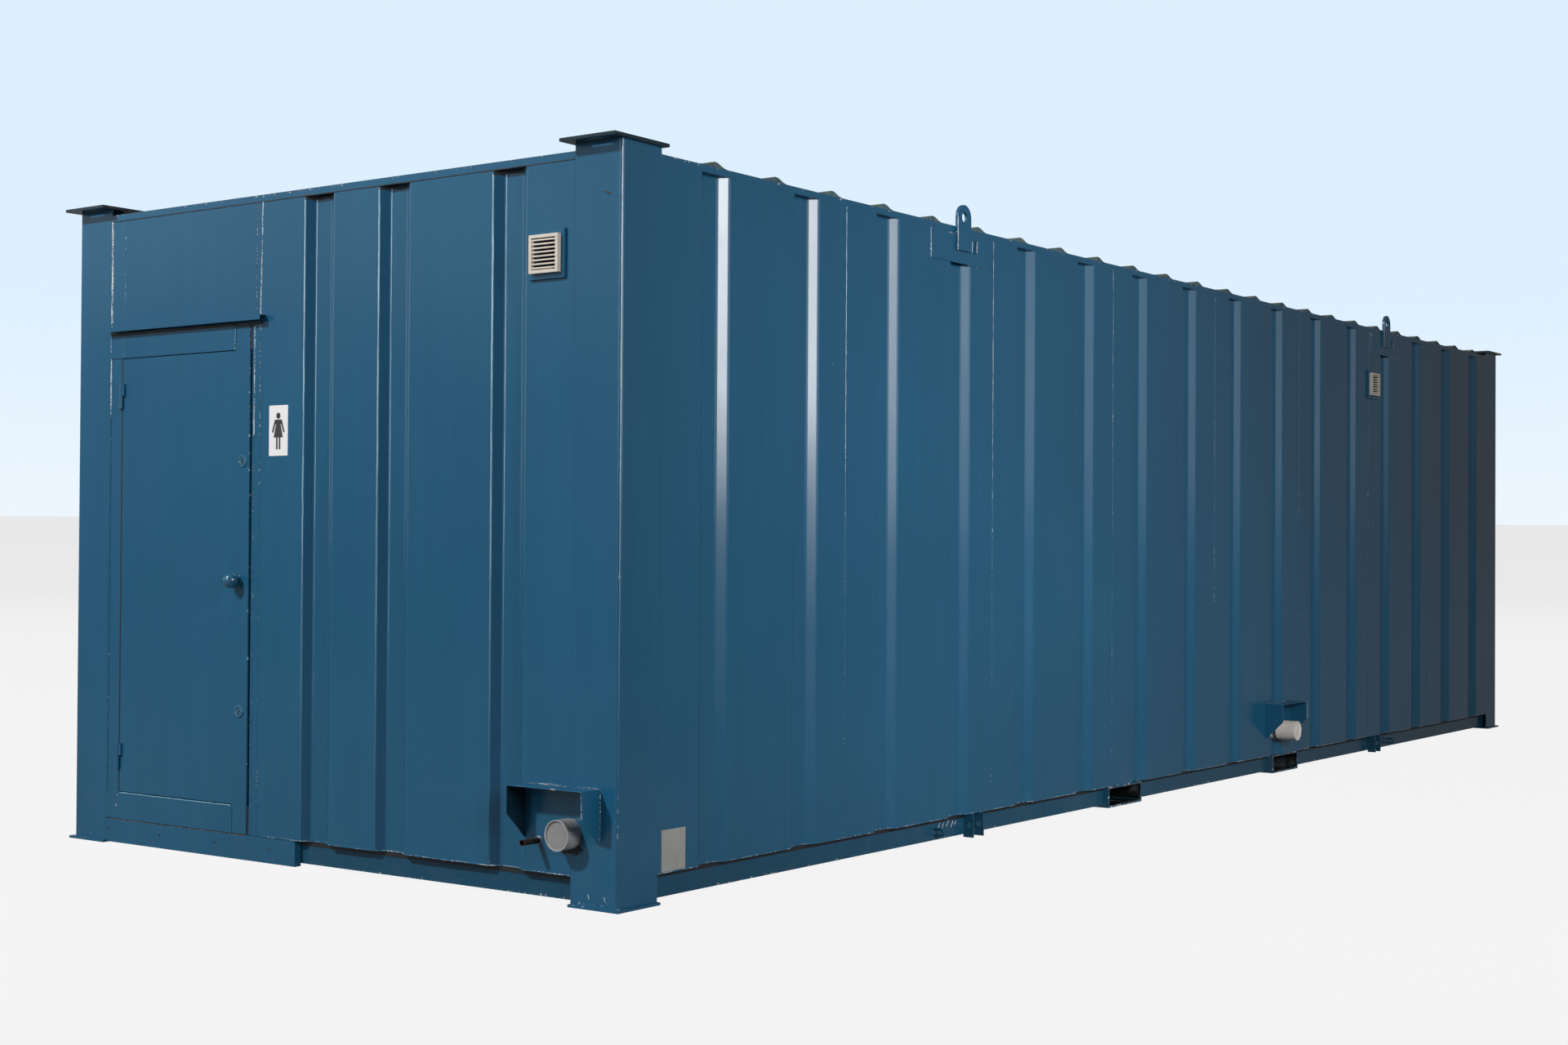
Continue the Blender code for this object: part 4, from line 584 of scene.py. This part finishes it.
pipe_grey = plain_material("pipe_grey", (0.345, 0.345, 0.35), 0.38, mottle=0.05, scale=18.0,
                           stain=with_plug(((-0.0645, 0.17, 0.203), (-0.05, 0.274, 0.307)), speckled_in(
                               ((-0.075, 0.19, 0.212), (-0.055, 0.25, 0.228)), soft=0.006,
                               scale=160.0, share=0.6, level=0.7)))
pipe_cream = plain_material("pipe_cream", (0.80, 0.755, 0.70), 0.42, mottle=0.07, scale=18.0,
                            stain=speckled_in(((5.70, -0.12, 0.19), (5.85, -0.10, 0.205)), soft=0.008,
                                              scale=120.0, share=0.5, level=0.6))
rounded("soil_pipe_end", pipe_grey, 0.0006)
rounded("soil_pipe_side", pipe_cream, 0.0006)
tube_copper = plain_material("tube_copper", (0.060, 0.034, 0.026), 0.42, metallic=0.55, mottle=0.35,
                             scale=55.0)
rounded("water_pipe", tube_copper, 0.0004)

# Door furniture inside the leaf: zinc-plated latch and dead bolts.
zinc = plain_material("zinc", (0.55, 0.55, 0.54), 0.35, metallic=1.0, mottle=0.08, scale=60.0)
for end in ENDS:
    for name in ("latch_bolt_", "lock_bolt_upper_", "lock_bolt_lower_"):
        finish_node(name + end, zinc)

# Rooms: white faced boards on walls and ceiling, sheet vinyl on the deck, and light blue
# laminate on the cubicles.
board = plain_material("white_board", (0.66, 0.665, 0.65), 0.5, mottle=0.02, scale=3.0, bump=0.00003)
for name in ("wall_lining", "ceiling_panel", "room_partition"):
    finish_node(name, board)
vinyl = plain_material("sheet_vinyl", (0.15, 0.16, 0.17), 0.5, mottle=0.22, scale=160.0, bump=0.00004)
finish_node("floor_deck", vinyl)
laminate = plain_material("cubicle_laminate", (0.25, 0.38, 0.50), 0.35, mottle=0.03, scale=5.0)
china = plain_material("white_china", (0.74, 0.74, 0.72), 0.10, mottle=0.012, scale=6.0, bump=0.000005)
chrome = plain_material("chrome", (0.62, 0.62, 0.63), 0.10, metallic=1.0, mottle=0.02, scale=30.0,
                        bump=0.0)
seat_black = plain_material("seat_black", (0.014, 0.014, 0.015), 0.28, mottle=0.15, scale=12.0)
for room in ("women", "men"):
    rounded("cubicle_screen_" + room, laminate, 0.0012)
    rounded("cubicle_door_" + room, laminate, 0.0012)
    rounded("toilet_pan_" + room, china, 0.004, 3)
    rounded("cistern_" + room, china, 0.006, 3)
    rounded("wash_basin_" + room, china, 0.005, 3)
    rounded("toilet_seat_" + room, seat_black, 0.004, 3)
    rounded("flush_lever_" + room, chrome, 0.0015)
    rounded("tap_lever_" + room, chrome, 0.0015)


# Weld seams: where sheets meet, a small bead has been ground, painted over and has flecked, so
# it reads as a dotted pale line; the ones beside the post and the door frame are heavier.
def bead(bm, start, end, out, width, height, step=0.012):
    """A thin lumpy strip between two points on the block, raised along the way out of the wall."""
    start, end = on_block(*start), on_block(*end)
    run = end - start
    across = run.cross(Vector(out)).normalized()
    made = bmesh.ops.create_grid(bm, x_segments=max(4, int(run.length / step)), y_segments=4, size=0.5)
    for vert in made["verts"]:
        along, side = vert.co.x + 0.5, vert.co.y * 2
        place = start + run * along
        lump = noise.noise(place * 60) * 0.5
        sway = across * noise.noise(place * 17 + Vector((3, 1, 7))) * width * 0.25
        vert.co = place + sway + across * side * width / 2 * (1 + lump * 0.5) \
            + Vector(out) * (height * (1 - side * side) * (1 + lump) - 0.0004)


def shown_piece(name, bm, material, body="block"):
    """A new piece made from the faces drawn so far, riding on one body of the frame."""
    mesh = bpy.data.meshes.new(name)
    bmesh.ops.recalc_face_normals(bm, faces=bm.faces)
    bm.to_mesh(mesh)
    bm.free()
    mesh.materials.append(material)
    mesh.shade_smooth()
    mesh.set_sharp_from_angle(angle=math.radians(40))
    piece = bpy.data.objects.new(name, mesh)
    bpy.context.scene.collection.objects.link(piece)
    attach(piece, body)


def show_through(made, amount, colour):
    """Lets another colour show through a material's own, as far as the mask says."""
    links, base = made.node_tree.links, made.node_tree.nodes["Principled BSDF"].inputs["Base Color"]
    links.new(mix_colour(made.node_tree.nodes, links, amount, base.links[0].from_socket, colour), base)
    return made


def seam_material(name, share):
    """Paint over a weld, with fine pale flecks that come and go along it."""
    made = paint_material(name, chips=0.0, dust=0.0, rust=0.0)
    nodes, links = made.node_tree.nodes, made.node_tree.links
    spot = nodes.new("ShaderNodeTexCoord").outputs["Object"]
    fleck = noise_node(nodes, links, stretched(nodes, links, spot, (1, 1, 0.6)), 260.0, 2.0, 0.6)
    come = noise_node(nodes, links, spot, 9.0, 3.0, 0.6)
    fleck = math_node(nodes, links, "MULTIPLY_ADD", come, 0.6, fleck)
    fleck = step_up(nodes, links, fleck, 1.02 - share * 0.35, 1.06 - share * 0.35)
    return show_through(made, fleck, (0.60, 0.62, 0.62))


heavy_seam = seam_material("heavy_seam", 0.75)
light_seam = seam_material("light_seam", 0.38)
faint_seam = seam_material("faint_seam", 0.12)
SEAM_FOOT = 0.108
SEAM_TOP = 2.630
HEAD_LINE = 2.180
NEAR_OUT = (-1, 0, 0)
FRONT_OUT = (0, -1, 0)
# Each run on the near end: how far out, its first and last place across and up, width, height.
NEAR_SEAMS = (
    ("near_heavy_seams", heavy_seam, (
        (0, 2.826, HEAD_LINE, 2.826, SEAM_TOP, 0.012, 0.0035),
        (-0.001, 2.827, 1.800, 2.826, 2.152, 0.008, 0.003),
        (0, 1.877, HEAD_LINE, 1.868, SEAM_TOP, 0.006, 0.0028),
        (0, 1.911, 1.700, 1.911, 2.146, 0.006, 0.003))),
    ("near_light_seams", light_seam, (
        (0, 2.738, HEAD_LINE, 2.738, SEAM_TOP, 0.005, 0.0018),
        (-0.0033, 2.738, 2.050, 2.738, 2.154, 0.005, 0.0018),
        (0, 1.901, HEAD_LINE, 1.901, SEAM_TOP, 0.004, 0.0016),
        (0, 1.877, 1.500, 1.877, 2.152, 0.005, 0.0022),
        (-0.0033, 2.026, 2.045, 2.026, 2.150, 0.004, 0.0014))),
    ("near_faint_seams", faint_seam, (
        (-0.001, 2.828, SEAM_FOOT, 2.827, 1.800, 0.006, 0.0028),
        (0, 1.877, SEAM_FOOT, 1.877, 1.500, 0.005, 0.0022),
        (0, 1.911, SEAM_FOOT, 1.911, 1.700, 0.005, 0.0024))))
for name, material, runs in NEAR_SEAMS:
    bm = bmesh.new()
    for x, y, z, end_y, end_z, width, height in runs:
        bead(bm, (x, y, z), (x, end_y, end_z), NEAR_OUT, width, height)
    shown_piece(name, bm, material)
bm = bmesh.new()
for x in (1.387, 2.551, 3.714, 4.904, 6.066, 7.182, 8.265):
    bead(bm, (x, 0, SEAM_FOOT), (x, 0, SEAM_TOP), FRONT_OUT, 0.0045, 0.0018)
shown_piece("front_seams", bm, seam_material("front_seam", 0.16))

# Weld runs and knocked edges on the hoods, and the water pipe's soldered joint at the wall.
SOLDER_RADIUS = 0.0135
SOLDER_RUNS = 10
bm = bmesh.new()
bead(bm, (-0.0982, 0.0828, 0.325), (-0.0982, 0.0828, 0.416), (-0.7, -0.7, 0), 0.004, 0.0009, 0.003)
bead(bm, (5.9545, -0.1008, 0.305), (5.9545, -0.1008, 0.398), FRONT_OUT, 0.004, 0.0012, 0.003)
turns = [math.radians(step * 360 / SOLDER_RUNS) for step in range(SOLDER_RUNS + 1)]
corners = [(-0.001, 0.366 + SOLDER_RADIUS * math.cos(turn), 0.220 + SOLDER_RADIUS * math.sin(turn))
           for turn in turns]
for start, end in zip(corners, corners[1:]):
    bead(bm, start, end, NEAR_OUT, 0.006, 0.004, 0.002)
shown_piece("hood_flecks", bm, heavy_seam)
bm = bmesh.new()
bead(bm, (-0.001, 0.085, 0.422), (-0.001, 0.432, 0.422), (-0.7, 0, 0.7), 0.006, 0.003, 0.004)
bead(bm, (5.606, -0.001, 0.403), (5.954, -0.001, 0.403), (0, -0.7, 0.7), 0.006, 0.003, 0.004)
bead(bm, (0, 0.0815, 0.225), (0, 0.0815, 0.420), NEAR_OUT, 0.006, 0.003, 0.004)
shown_piece("hood_welds", bm, light_seam)

# Lug edges and welds: flecked edges on the eye plates and tabs, thin runs round the patch plates.
PATCH_FOOT = 2.4995
bm = bmesh.new()
runs = bmesh.new()
for x in LUG_PLACES:
    bead(bm, (x - 0.0550, -0.0153, 2.553), (x - 0.0550, -0.0153, 2.700), FRONT_OUT, 0.005, 0.0012, 0.003)
    for side, face in ((0.098, -0.0193), (0.086, -0.0033)):
        bead(bm, (x + side, face, 2.556), (x + side, face, 2.606), FRONT_OUT, 0.005, 0.0012, 0.003)
    for start, end in (((-0.2515, 2.502), (-0.2515, SEAM_TOP)), ((0.2515, 2.502), (0.2515, SEAM_TOP)),
                       ((0.050, PATCH_FOOT), (0.250, PATCH_FOOT))):
        bead(runs, (x + start[0], 0, start[1]), (x + end[0], 0, end[1]), FRONT_OUT, 0.005, 0.0025, 0.004)
shown_piece("lug_flecks", bm, seam_material("lug_fleck", 1.05))
shown_piece("lug_welds", runs, light_seam)

# Painted highlights on bends: thin pale strips along the post's corner, the grooves' lips on the end
# wall and the hoods' edges, where the bends catch the light, more so towards the top.
def painted_bend_highlight(name, pale):
    made = paint_material(name, chips=0.0, dust=0.0, rust=0.1, bump=0.3)
    nodes, links = made.node_tree.nodes, made.node_tree.links
    spot = nodes.new("ShaderNodeTexCoord").outputs["Object"]
    split = nodes.new("ShaderNodeSeparateXYZ")
    links.new(spot, split.inputs["Vector"])
    # Painted highlight: paler towards the top of each bend.
    upper = step_up(nodes, links, split.outputs["Z"], 0.2, 2.5, 0.05, 1.0)
    uneven = noise_node(nodes, links, stretched(nodes, links, spot, (1, 1, 0.3)), 12.0, 3.0, 0.6)
    uneven = step_up(nodes, links, uneven, 0.25, 0.65, 0.45, 1.0)
    return show_through(made, math_node(nodes, links, "MULTIPLY", upper, uneven), pale)


END_GROOVES = (0.532, 1.125, 1.541)
LIP_FOOT = 0.112
LIP_TOP = 2.615
bm = bmesh.new()
bead(bm, (0.0006, 0.0006, 0.030), (0.0006, 0.0006, 2.655), (-0.7, -0.7, 0), 0.0035, 0.0003)
for middle in END_GROOVES:
    for x, aside, width in ((0.0008, 0.0815, 0.0060), (0.0279, 0.0415, 0.0036)):
        lip = middle + aside
        bead(bm, (x, lip, LIP_FOOT), (x, lip, LIP_TOP), (-0.95, -0.3, 0), width, 0.0007)
bead(bm, (5.6050, -0.1002, 0.306), (5.6050, -0.1002, 0.398), (-0.4, -0.9, 0), 0.0040, 0.0007)
bead(bm, (-0.0983, 0.4342, 0.325), (-0.0983, 0.4342, 0.418), (-0.7, 0.7, 0), 0.0040, 0.0007)
bead(bm, (-0.0983, 0.086, 0.4202), (-0.0983, 0.431, 0.4202), (-0.7, 0, 0.7), 0.0035, 0.0006)
shown_piece("painted_bend_highlights", bm, painted_bend_highlight("painted_bend_highlight", (0.34, 0.50, 0.60)))


# Round the pipes where they leave the wall: a torn black gasket, and old yellow foam pressed out
# of the hole on one side of the cream pipe.
def torn_ring(bm, centre, out, inner, outer, first, last, thickness, steps=26):
    """Part of a flat ring, spun from a small face, with its outer edge torn by noise."""
    out = Vector(out)
    way = Matrix.Rotation(math.radians(-first), 3, out) @ Vector((0, 0, 1)).cross(out).normalized()
    hidden = inner - 0.003
    corners = [bm.verts.new(centre + way * radius + out * lift)
               for radius, lift in ((hidden, 0), (hidden, thickness), (outer, thickness), (outer, 0))]
    start = bm.faces.new(corners)
    known = set(bm.verts) - set(corners)
    bmesh.ops.spin(bm, geom=[start, *start.edges, *corners], cent=centre, axis=out,
                   angle=math.radians(first - last), steps=steps)
    for vert in set(bm.verts) - known:
        away = vert.co - centre
        away -= out * away.dot(out)
        if away.length > inner:
            torn = noise.noise(away.normalized() * 3.1 + Vector((centre.x, 0, 0)))
            torn *= (outer - inner) * 0.9
            vert.co += away.normalized() * max(torn, inner + 0.001 - outer)


gasket = plain_material("black_gasket", (0.008, 0.009, 0.010), 0.75, mottle=0.4, scale=90.0, bump=0.0003)
foam = plain_material("old_foam", (0.50, 0.36, 0.15), 0.9, mottle=0.25, scale=70.0, bump=0.0006)
bm = bmesh.new()
torn_ring(bm, on_block(-0.0002, 0.222, 0.255), NEAR_OUT, 0.0545, 0.072, 40, 150, 0.004)
side_pipe = on_block(5.780, -0.0002, 0.245)
torn_ring(bm, side_pipe, FRONT_OUT, 0.0545, 0.066, 100, 330, 0.004)
shown_piece("pipe_gaskets", bm, gasket)
bm = bmesh.new()
torn_ring(bm, side_pipe, FRONT_OUT, 0.0540, 0.073, 185, 262, 0.009)
shown_piece("pipe_foam", bm, foam)


# Rib ends on the roof: each low rib is closed at the eaves with a filler, weathered green-grey
# with ochre dirt and lichen round its edge.
def flat_shape(bm, points, place, out, thickness):
    """A flat outline of (right, up) points, seen from outside the wall, given a small thickness."""
    out = Vector(out)
    right_way = Vector((0, 0, 1)).cross(out).normalized()
    verts = [bm.verts.new(place + right_way * u + Vector((0, 0, v))) for u, v in points]
    face = bm.faces.new(verts)
    grown = bmesh.ops.extrude_face_region(bm, geom=[face])
    moved = [item for item in grown["geom"] if isinstance(item, bmesh.types.BMVert)]
    bmesh.ops.translate(bm, verts=moved, vec=out * thickness)


def round_points(u, v, radius, count=20):
    turns = [2 * math.pi * step / count for step in range(count)]
    return [(u + radius * math.cos(turn), v + radius * math.sin(turn)) for turn in turns]


ochre = speckled_in(heights(2.66, 2.70), soft=0.004, scale=75.0, share=0.45, level=0.8)
filler = plain_material("rib_filler", (0.040, 0.085, 0.105), 0.75, mottle=0.3, scale=25.0, stain=ochre,
                        stain_colour=(0.17, 0.165, 0.12))
RIB_PITCH = 0.378
RIB_HALF = 0.0725
RIB_RISE = 0.020
RIBS = int((LONG - 0.448) / RIB_PITCH)
shares = [step / 6 - 1 for step in range(13)]
arch = [(RIB_HALF * share, RIB_RISE * math.cos(math.pi * 0.5 * share) ** 2 + 0.0004) for share in shares]
bm = bmesh.new()
for index in range(RIBS):
    middle = LONG / 2 + (index - (RIBS - 1) / 2) * RIB_PITCH
    if not 0.30 < middle < LONG - 0.30:
        continue
    for y, out in ((0.0035, FRONT_OUT), (WIDE - 0.0035, (0, 1, 0))):
        flat_shape(bm, [(-RIB_HALF, -0.001)] + arch + [(RIB_HALF, -0.001)], on_block(middle, y, 2.6575),
                   out, 0.0030)
shown_piece("rib_fillers", bm, filler)

# Mastic under the eaves of the end walls: a thin uneven line of dark sealant; across the tops of the
# grooves, under the rail, thick black strips are painted shade.
mastic_and_painted_shade = plain_material("mastic_and_painted_shade", (0.010, 0.014, 0.016), 0.7, mottle=0.3, scale=60.0)
SHEET_TOP = 2.632
GROOVE_FLOOR = 0.0297
FLOOR_HALF = 0.0425
bm = bmesh.new()
line = SHEET_TOP - 0.002
bead(bm, (-0.0003, 0.218, line), (-0.0003, 2.822, line), NEAR_OUT, 0.005, 0.0016, 0.008)
# Painted shade: thick black strips in the tops of the grooves.
line = SHEET_TOP - 0.009
for middle in reversed(END_GROOVES):
    for (x, aside), (end_x, end_aside), out in (
            ((GROOVE_FLOOR, -0.044), (GROOVE_FLOOR, 0.044), NEAR_OUT),
            ((0.002, -0.080), (GROOVE_FLOOR, -FLOOR_HALF), (-0.8, 0.6, 0)),
            ((GROOVE_FLOOR, FLOOR_HALF), (0.002, 0.080), (-0.8, -0.6, 0))):
        bead(bm, (x, middle + aside, line), (end_x, middle + end_aside, line), out, 0.017, 0.003, 0.006)
shown_piece("eaves_mastic_and_shade", bm, mastic_and_painted_shade)

# Door joints: black strips in the gaps beside the leaf's strip and its edge and under the drip bar, as
# painted shade; a pale painted highlight along the kick plate's top edge; and a line of rust and dirt
# where the threshold meets the frame.
# Near black: painted shade in the door's gaps, under the drip bar and at the sheets' foot, and also the
# dark marks of old knocks.
black_marks_and_shade = plain_material("black_marks_and_painted_shade", (0.006, 0.008, 0.010), 0.6, mottle=0.3, scale=40.0)


def slab(bm, low, high):
    """A block between two corners given on the block's own measure."""
    made = bmesh.ops.create_cube(bm, size=1)["verts"]
    low, high = on_block(*low), on_block(*high)
    for vert in made:
        vert.co = Vector([a + (b - a) * (c + 0.5) for a, b, c in zip(low, high, vert.co)])


bm = bmesh.new()
for low, high in ((2.044, 2.141), (0.108, 0.217)):
    slab(bm, (-0.0012, 1.9245, low), (0.0003, 1.9345, high))
for low, high in ((1.866, 1.9335), (2.0235, 2.822)):
    slab(bm, (-0.0065, low, 2.143), (-0.0030 if low > 2 else 0.0003, high, 2.1545))
slab(bm, (-0.0011, 2.7462, 0.224), (0.0003, 2.7535, 2.041))
shown_piece("door_gap_painted_shade", bm, black_marks_and_shade)
bm = bmesh.new()
slab(bm, (-0.0060, 1.9375, 2.1375), (-0.0030, 2.0195, 2.1485))
shown_piece("leaf_head_painted_shade", bm, black_marks_and_shade, "leaf_near")
# Painted highlight: a pale bead along the kick plate's top edge, where the edge catches the light.
kick_edge_painted_highlight = paint_material("kick_edge_painted_highlight", colour=(0.20, 0.36, 0.46), chips=0.3, dust=0.0, rust=0.1)
bm = bmesh.new()
bead(bm, (-0.0032, 2.030, 0.2160), (-0.0032, 2.742, 0.2160), NEAR_OUT, 0.0045, 0.0012)
shown_piece("kick_plate_painted_highlight", bm, kick_edge_painted_highlight)
dirt = speckled_in(heights(0.09, 0.12), soft=0.01, scale=70.0, share=0.7, level=0.9)
rust_line = plain_material("rust_line", (0.24, 0.155, 0.075), 0.8, mottle=0.3, scale=30.0, stain=dirt,
                           stain_colour=(0.012, 0.014, 0.015))
bm = bmesh.new()
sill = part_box("threshold_near")
sill_face, sill_line = sill[0].x - near_x, sill[1].z - 0.0012
bead(bm, (sill_face, 1.940, sill_line), (sill_face, 2.822, sill_line), NEAR_OUT, 0.0035, 0.0006)
shown_piece("threshold_rust", bm, rust_line)

# Old knocks: a dent scraped on the near post, a scratch on the first groove, chips up the post's
# corner and grey scratches on the base rail where a sling has rubbed.
bm = bmesh.new()
bead(bm, (-0.0001, 0.052, 2.492), (-0.0001, 0.078, 2.506), NEAR_OUT, 0.010, 0.0012, 0.004)
for start, end in (((0.588, 0.0215, 1.905), (0.604, 0.0285, 1.913)),
                   ((0.590, 0.0225, 1.898), (0.598, 0.026, 1.901))):
    bead(bm, start, end, (-0.6, -0.8, 0), 0.004, 0.001, 0.003)
shown_piece("old_knocks", bm, black_marks_and_shade)
RAIL_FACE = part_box("wall_lining")[0].y - front_y
bm = bmesh.new()
for x, z, tall in ((2.155, 0.060, 0.05), (2.185, 0.055, 0.06), (2.225, 0.065, 0.045),
                   (2.262, 0.058, 0.05), (2.290, 0.066, 0.03)):
    end = (x + 0.018, RAIL_FACE, z + tall * 0.5)
    bead(bm, (x, RAIL_FACE, z), end, FRONT_OUT, 0.006, 0.0008, 0.003)
for z, tall in ((0.255, 0.02), (0.292, 0.012), (0.345, 0.014), (0.392, 0.008), (1.155, 0.012),
                (1.42, 0.008)):
    bead(bm, (0.0009, 0.0009, z), (0.0009, 0.0009, z + tall), (-0.7, -0.7, 0), 0.0045, 0.0006, 0.002)
for u, z in ((0.055, 0.030), (0.130, 0.034)):
    bead(bm, (-0.0002, u, z), (-0.0002, u + 0.006, z + 0.018), NEAR_OUT, 0.0025, 0.0006, 0.002)
shown_piece("rubbed_chips", bm, seam_material("rubbed", 0.95))

# Black strip on the base rail's face under the sheets' bottom edges: painted shadow of the sheets'
# overhang, black and dull.
bm = bmesh.new()
slab(bm, (RAIL_FACE - 0.0015, 0.224, 0.0875), (RAIL_FACE + 0.001, 1.640, 0.1045))
ends = [0.224]
for name in ("fork_pocket_near", "fork_pocket_far"):
    ends += [corner.x - near_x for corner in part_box(name)]
for low, high in zip(ends[::2], ends[1::2] + [LONG - 0.224]):
    slab(bm, (low, RAIL_FACE - 0.0015, 0.0885), (high, RAIL_FACE + 0.001, 0.1045))
shown_piece("sheet_foot_painted_shadow", bm, black_marks_and_shade)


# Bottom edges of the pressed sheets: the cut edge is sealed with a thin run of paint that has
# dried pale and chips off, following every groove.
def edge_run(bm, middles, start, end, place, out, way):
    """Beads along the bottom of a wall; place turns (run, depth) into a point on the block."""
    near_web, far_web = out * 0.8 + way * 0.6, out * 0.8 - way * 0.6
    last = start
    for middle in middles:
        lips = [middle + aside for aside in (-GROOVE_HALF, -FLOOR_HALF, FLOOR_HALF, GROOVE_HALF)]
        for first, second, facing in (((last, 0), (lips[0], 0), out),
                                      ((lips[1], GROOVE_FLOOR), (lips[2], GROOVE_FLOOR), out),
                                      ((lips[0], 0.0005), (lips[1], GROOVE_FLOOR), near_web),
                                      ((lips[2], GROOVE_FLOOR), (lips[3], 0.0005), far_web)):
            bead(bm, place(*first), place(*second), facing, 0.0045, 0.0018)
        last = lips[3]
    bead(bm, place(last, 0), place(end, 0), out, 0.0045, 0.0018)


GROOVE_HALF = 0.0825
GROOVE_PITCH = 0.5791
SHEET_START = 0.222
SHEET_FOOT = 0.1075
bm = bmesh.new()
edge_run(bm, [LONG / 2 + (index - 7.5) * GROOVE_PITCH for index in range(16)], SHEET_START,
         LONG - SHEET_START, lambda run, depth: (run, depth - 0.0003, SHEET_FOOT), Vector(FRONT_OUT),
         Vector((1, 0, 0)))
edge_run(bm, END_GROOVES, SHEET_START, 1.845, lambda run, depth: (depth - 0.0003, run, SHEET_FOOT),
         Vector(NEAR_OUT), Vector((0, 1, 0)))
shown_piece("sheet_bottom_edges", bm, light_seam)


# Door sign: a white plastic plate with a plain figure of a woman, for the women's room.
def plate_points(u, v):
    return [(-u, -v), (u, -v), (u, v), (-u, v)]


sign_white = plain_material("sign_white", (0.80, 0.80, 0.79), 0.35, mottle=0.02)
sign_dark = plain_material("sign_dark", (0.030, 0.031, 0.033), 0.4, mottle=0.1)
SIGN_MIDDLE = on_block(0, 1.7645, 1.715)
bm = bmesh.new()
flat_shape(bm, plate_points(0.055, 0.100), SIGN_MIDDLE, NEAR_OUT, 0.002)
bmesh.ops.bevel(bm, geom=bm.edges[:], offset=0.0005, segments=1, profile=0.5, affect="EDGES",
                material=-1)
shown_piece("women_sign", bm, sign_white)
bm = bmesh.new()
figure = SIGN_MIDDLE + Vector((-0.002, 0, 0))
flat_shape(bm, round_points(0, 0.0585, 0.0122), figure, NEAR_OUT, 0.0004)
half_figure = [(0.017, 0.0435), (0.022, 0.039), (0.037, -0.004), (0.0345, -0.0075), (0.0290, -0.0075),
               (0.0165, 0.0270), (0.0140, 0.0235), (0.0270, -0.0275), (0.0125, -0.0275),
               (0.0125, -0.0745), (0.0035, -0.0745), (0.0035, -0.0275)]
flat_shape(bm, [(-u, v) for u, v in half_figure] + half_figure[::-1], figure, NEAR_OUT, 0.0004)
shown_piece("women_sign_figure", bm, sign_dark)

# Data plate: a blank aluminium plate held by four rivets low on the front wall.
plate_metal = plain_material("plate_metal", (0.36, 0.365, 0.345), 0.5, metallic=0.25, mottle=0.07,
                             scale=45.0)
bm = bmesh.new()
plate_place = on_block(0.306, 0, 0.1855)
flat_shape(bm, plate_points(0.068, 0.0745), plate_place, FRONT_OUT, 0.0012)
bmesh.ops.bevel(bm, geom=bm.edges[:], offset=0.0004, segments=1, profile=0.5, affect="EDGES",
                material=-1)
for u, v in ((-0.062, 0.0685), (0.062, 0.0685), (-0.062, -0.0685), (0.062, -0.0685)):
    flat_shape(bm, round_points(u, v, 0.0025, 12), plate_place + Vector((0, -0.0012, 0)), FRONT_OUT,
               0.0012)
shown_piece("data_plate", bm, plate_metal)


# Lock escutcheons on the door's strip: pressed discs with a keyhole, sprayed over with the door.
def turned(bm, profile, centre, axis, steps=32):
    """A ring or disc: a run of (radius, out) points spun round an axis through the centre."""
    axis = Vector(axis)
    side = axis.orthogonal().normalized()
    verts = [bm.verts.new(centre + side * radius + axis * out) for radius, out in profile]
    edges = [bm.edges.new(pair) for pair in zip(verts, verts[1:])]
    bmesh.ops.spin(bm, geom=verts + edges, cent=centre, axis=axis, angle=2 * math.pi, steps=steps,
                   use_merge=True)
    bmesh.ops.remove_doubles(bm, verts=bm.verts, dist=0.00001)


escutcheon_paint = paint_material("escutcheon_paint", colour=(0.030, 0.125, 0.215), chips=0.0, dust=0.0,
                                  rust=0.1, wear=0.35, bump=0.5)
# Painted shade: the keyholes are flat near-black shapes standing for the dark holes.
recess_painted_shade = plain_material("recess_painted_shade", (0.006, 0.007, 0.008), 0.6)
STRIP_FACE = -0.0034
bm = bmesh.new()
holes = bmesh.new()
for y, z in ((1.973, 1.598), (1.984, 0.595)):
    centre = on_block(STRIP_FACE, y, z)
    turned(bm, [(0.0002, 0.0020), (0.0165, 0.0020), (0.0180, 0.0050), (0.0210, 0.0055), (0.0235, 0.0045),
                (0.0250, 0.0015), (0.0252, -0.0005)], centre, NEAR_OUT)
    slot = [(-0.0034, -0.013), (0.0034, -0.013), (0.0024, 0.003), (-0.0024, 0.003)]
    for points in (round_points(0, 0.005, 0.0048, 16), slot):
        flat_shape(holes, points, centre + Vector((-0.0019, 0, 0)), NEAR_OUT, 0.0006)
shown_piece("lock_escutcheons", bm, escutcheon_paint, "leaf_near")
shown_piece("lock_keyholes", holes, recess_painted_shade, "leaf_near")

# Threshold screws: countersunk screws under the door, drawn near black as painted shade in their
# recessed heads.
bm = bmesh.new()
for y in (2.815, 2.479, 2.131, 1.797):
    turned(bm, [(0.0002, 0.0002), (0.0035, 0.0004), (0.0042, 0.0009), (0.0052, -0.0004)],
           on_block(sill_face, y, 0.058), NEAR_OUT, 16)
shown_piece("threshold_screws", bm, recess_painted_shade)
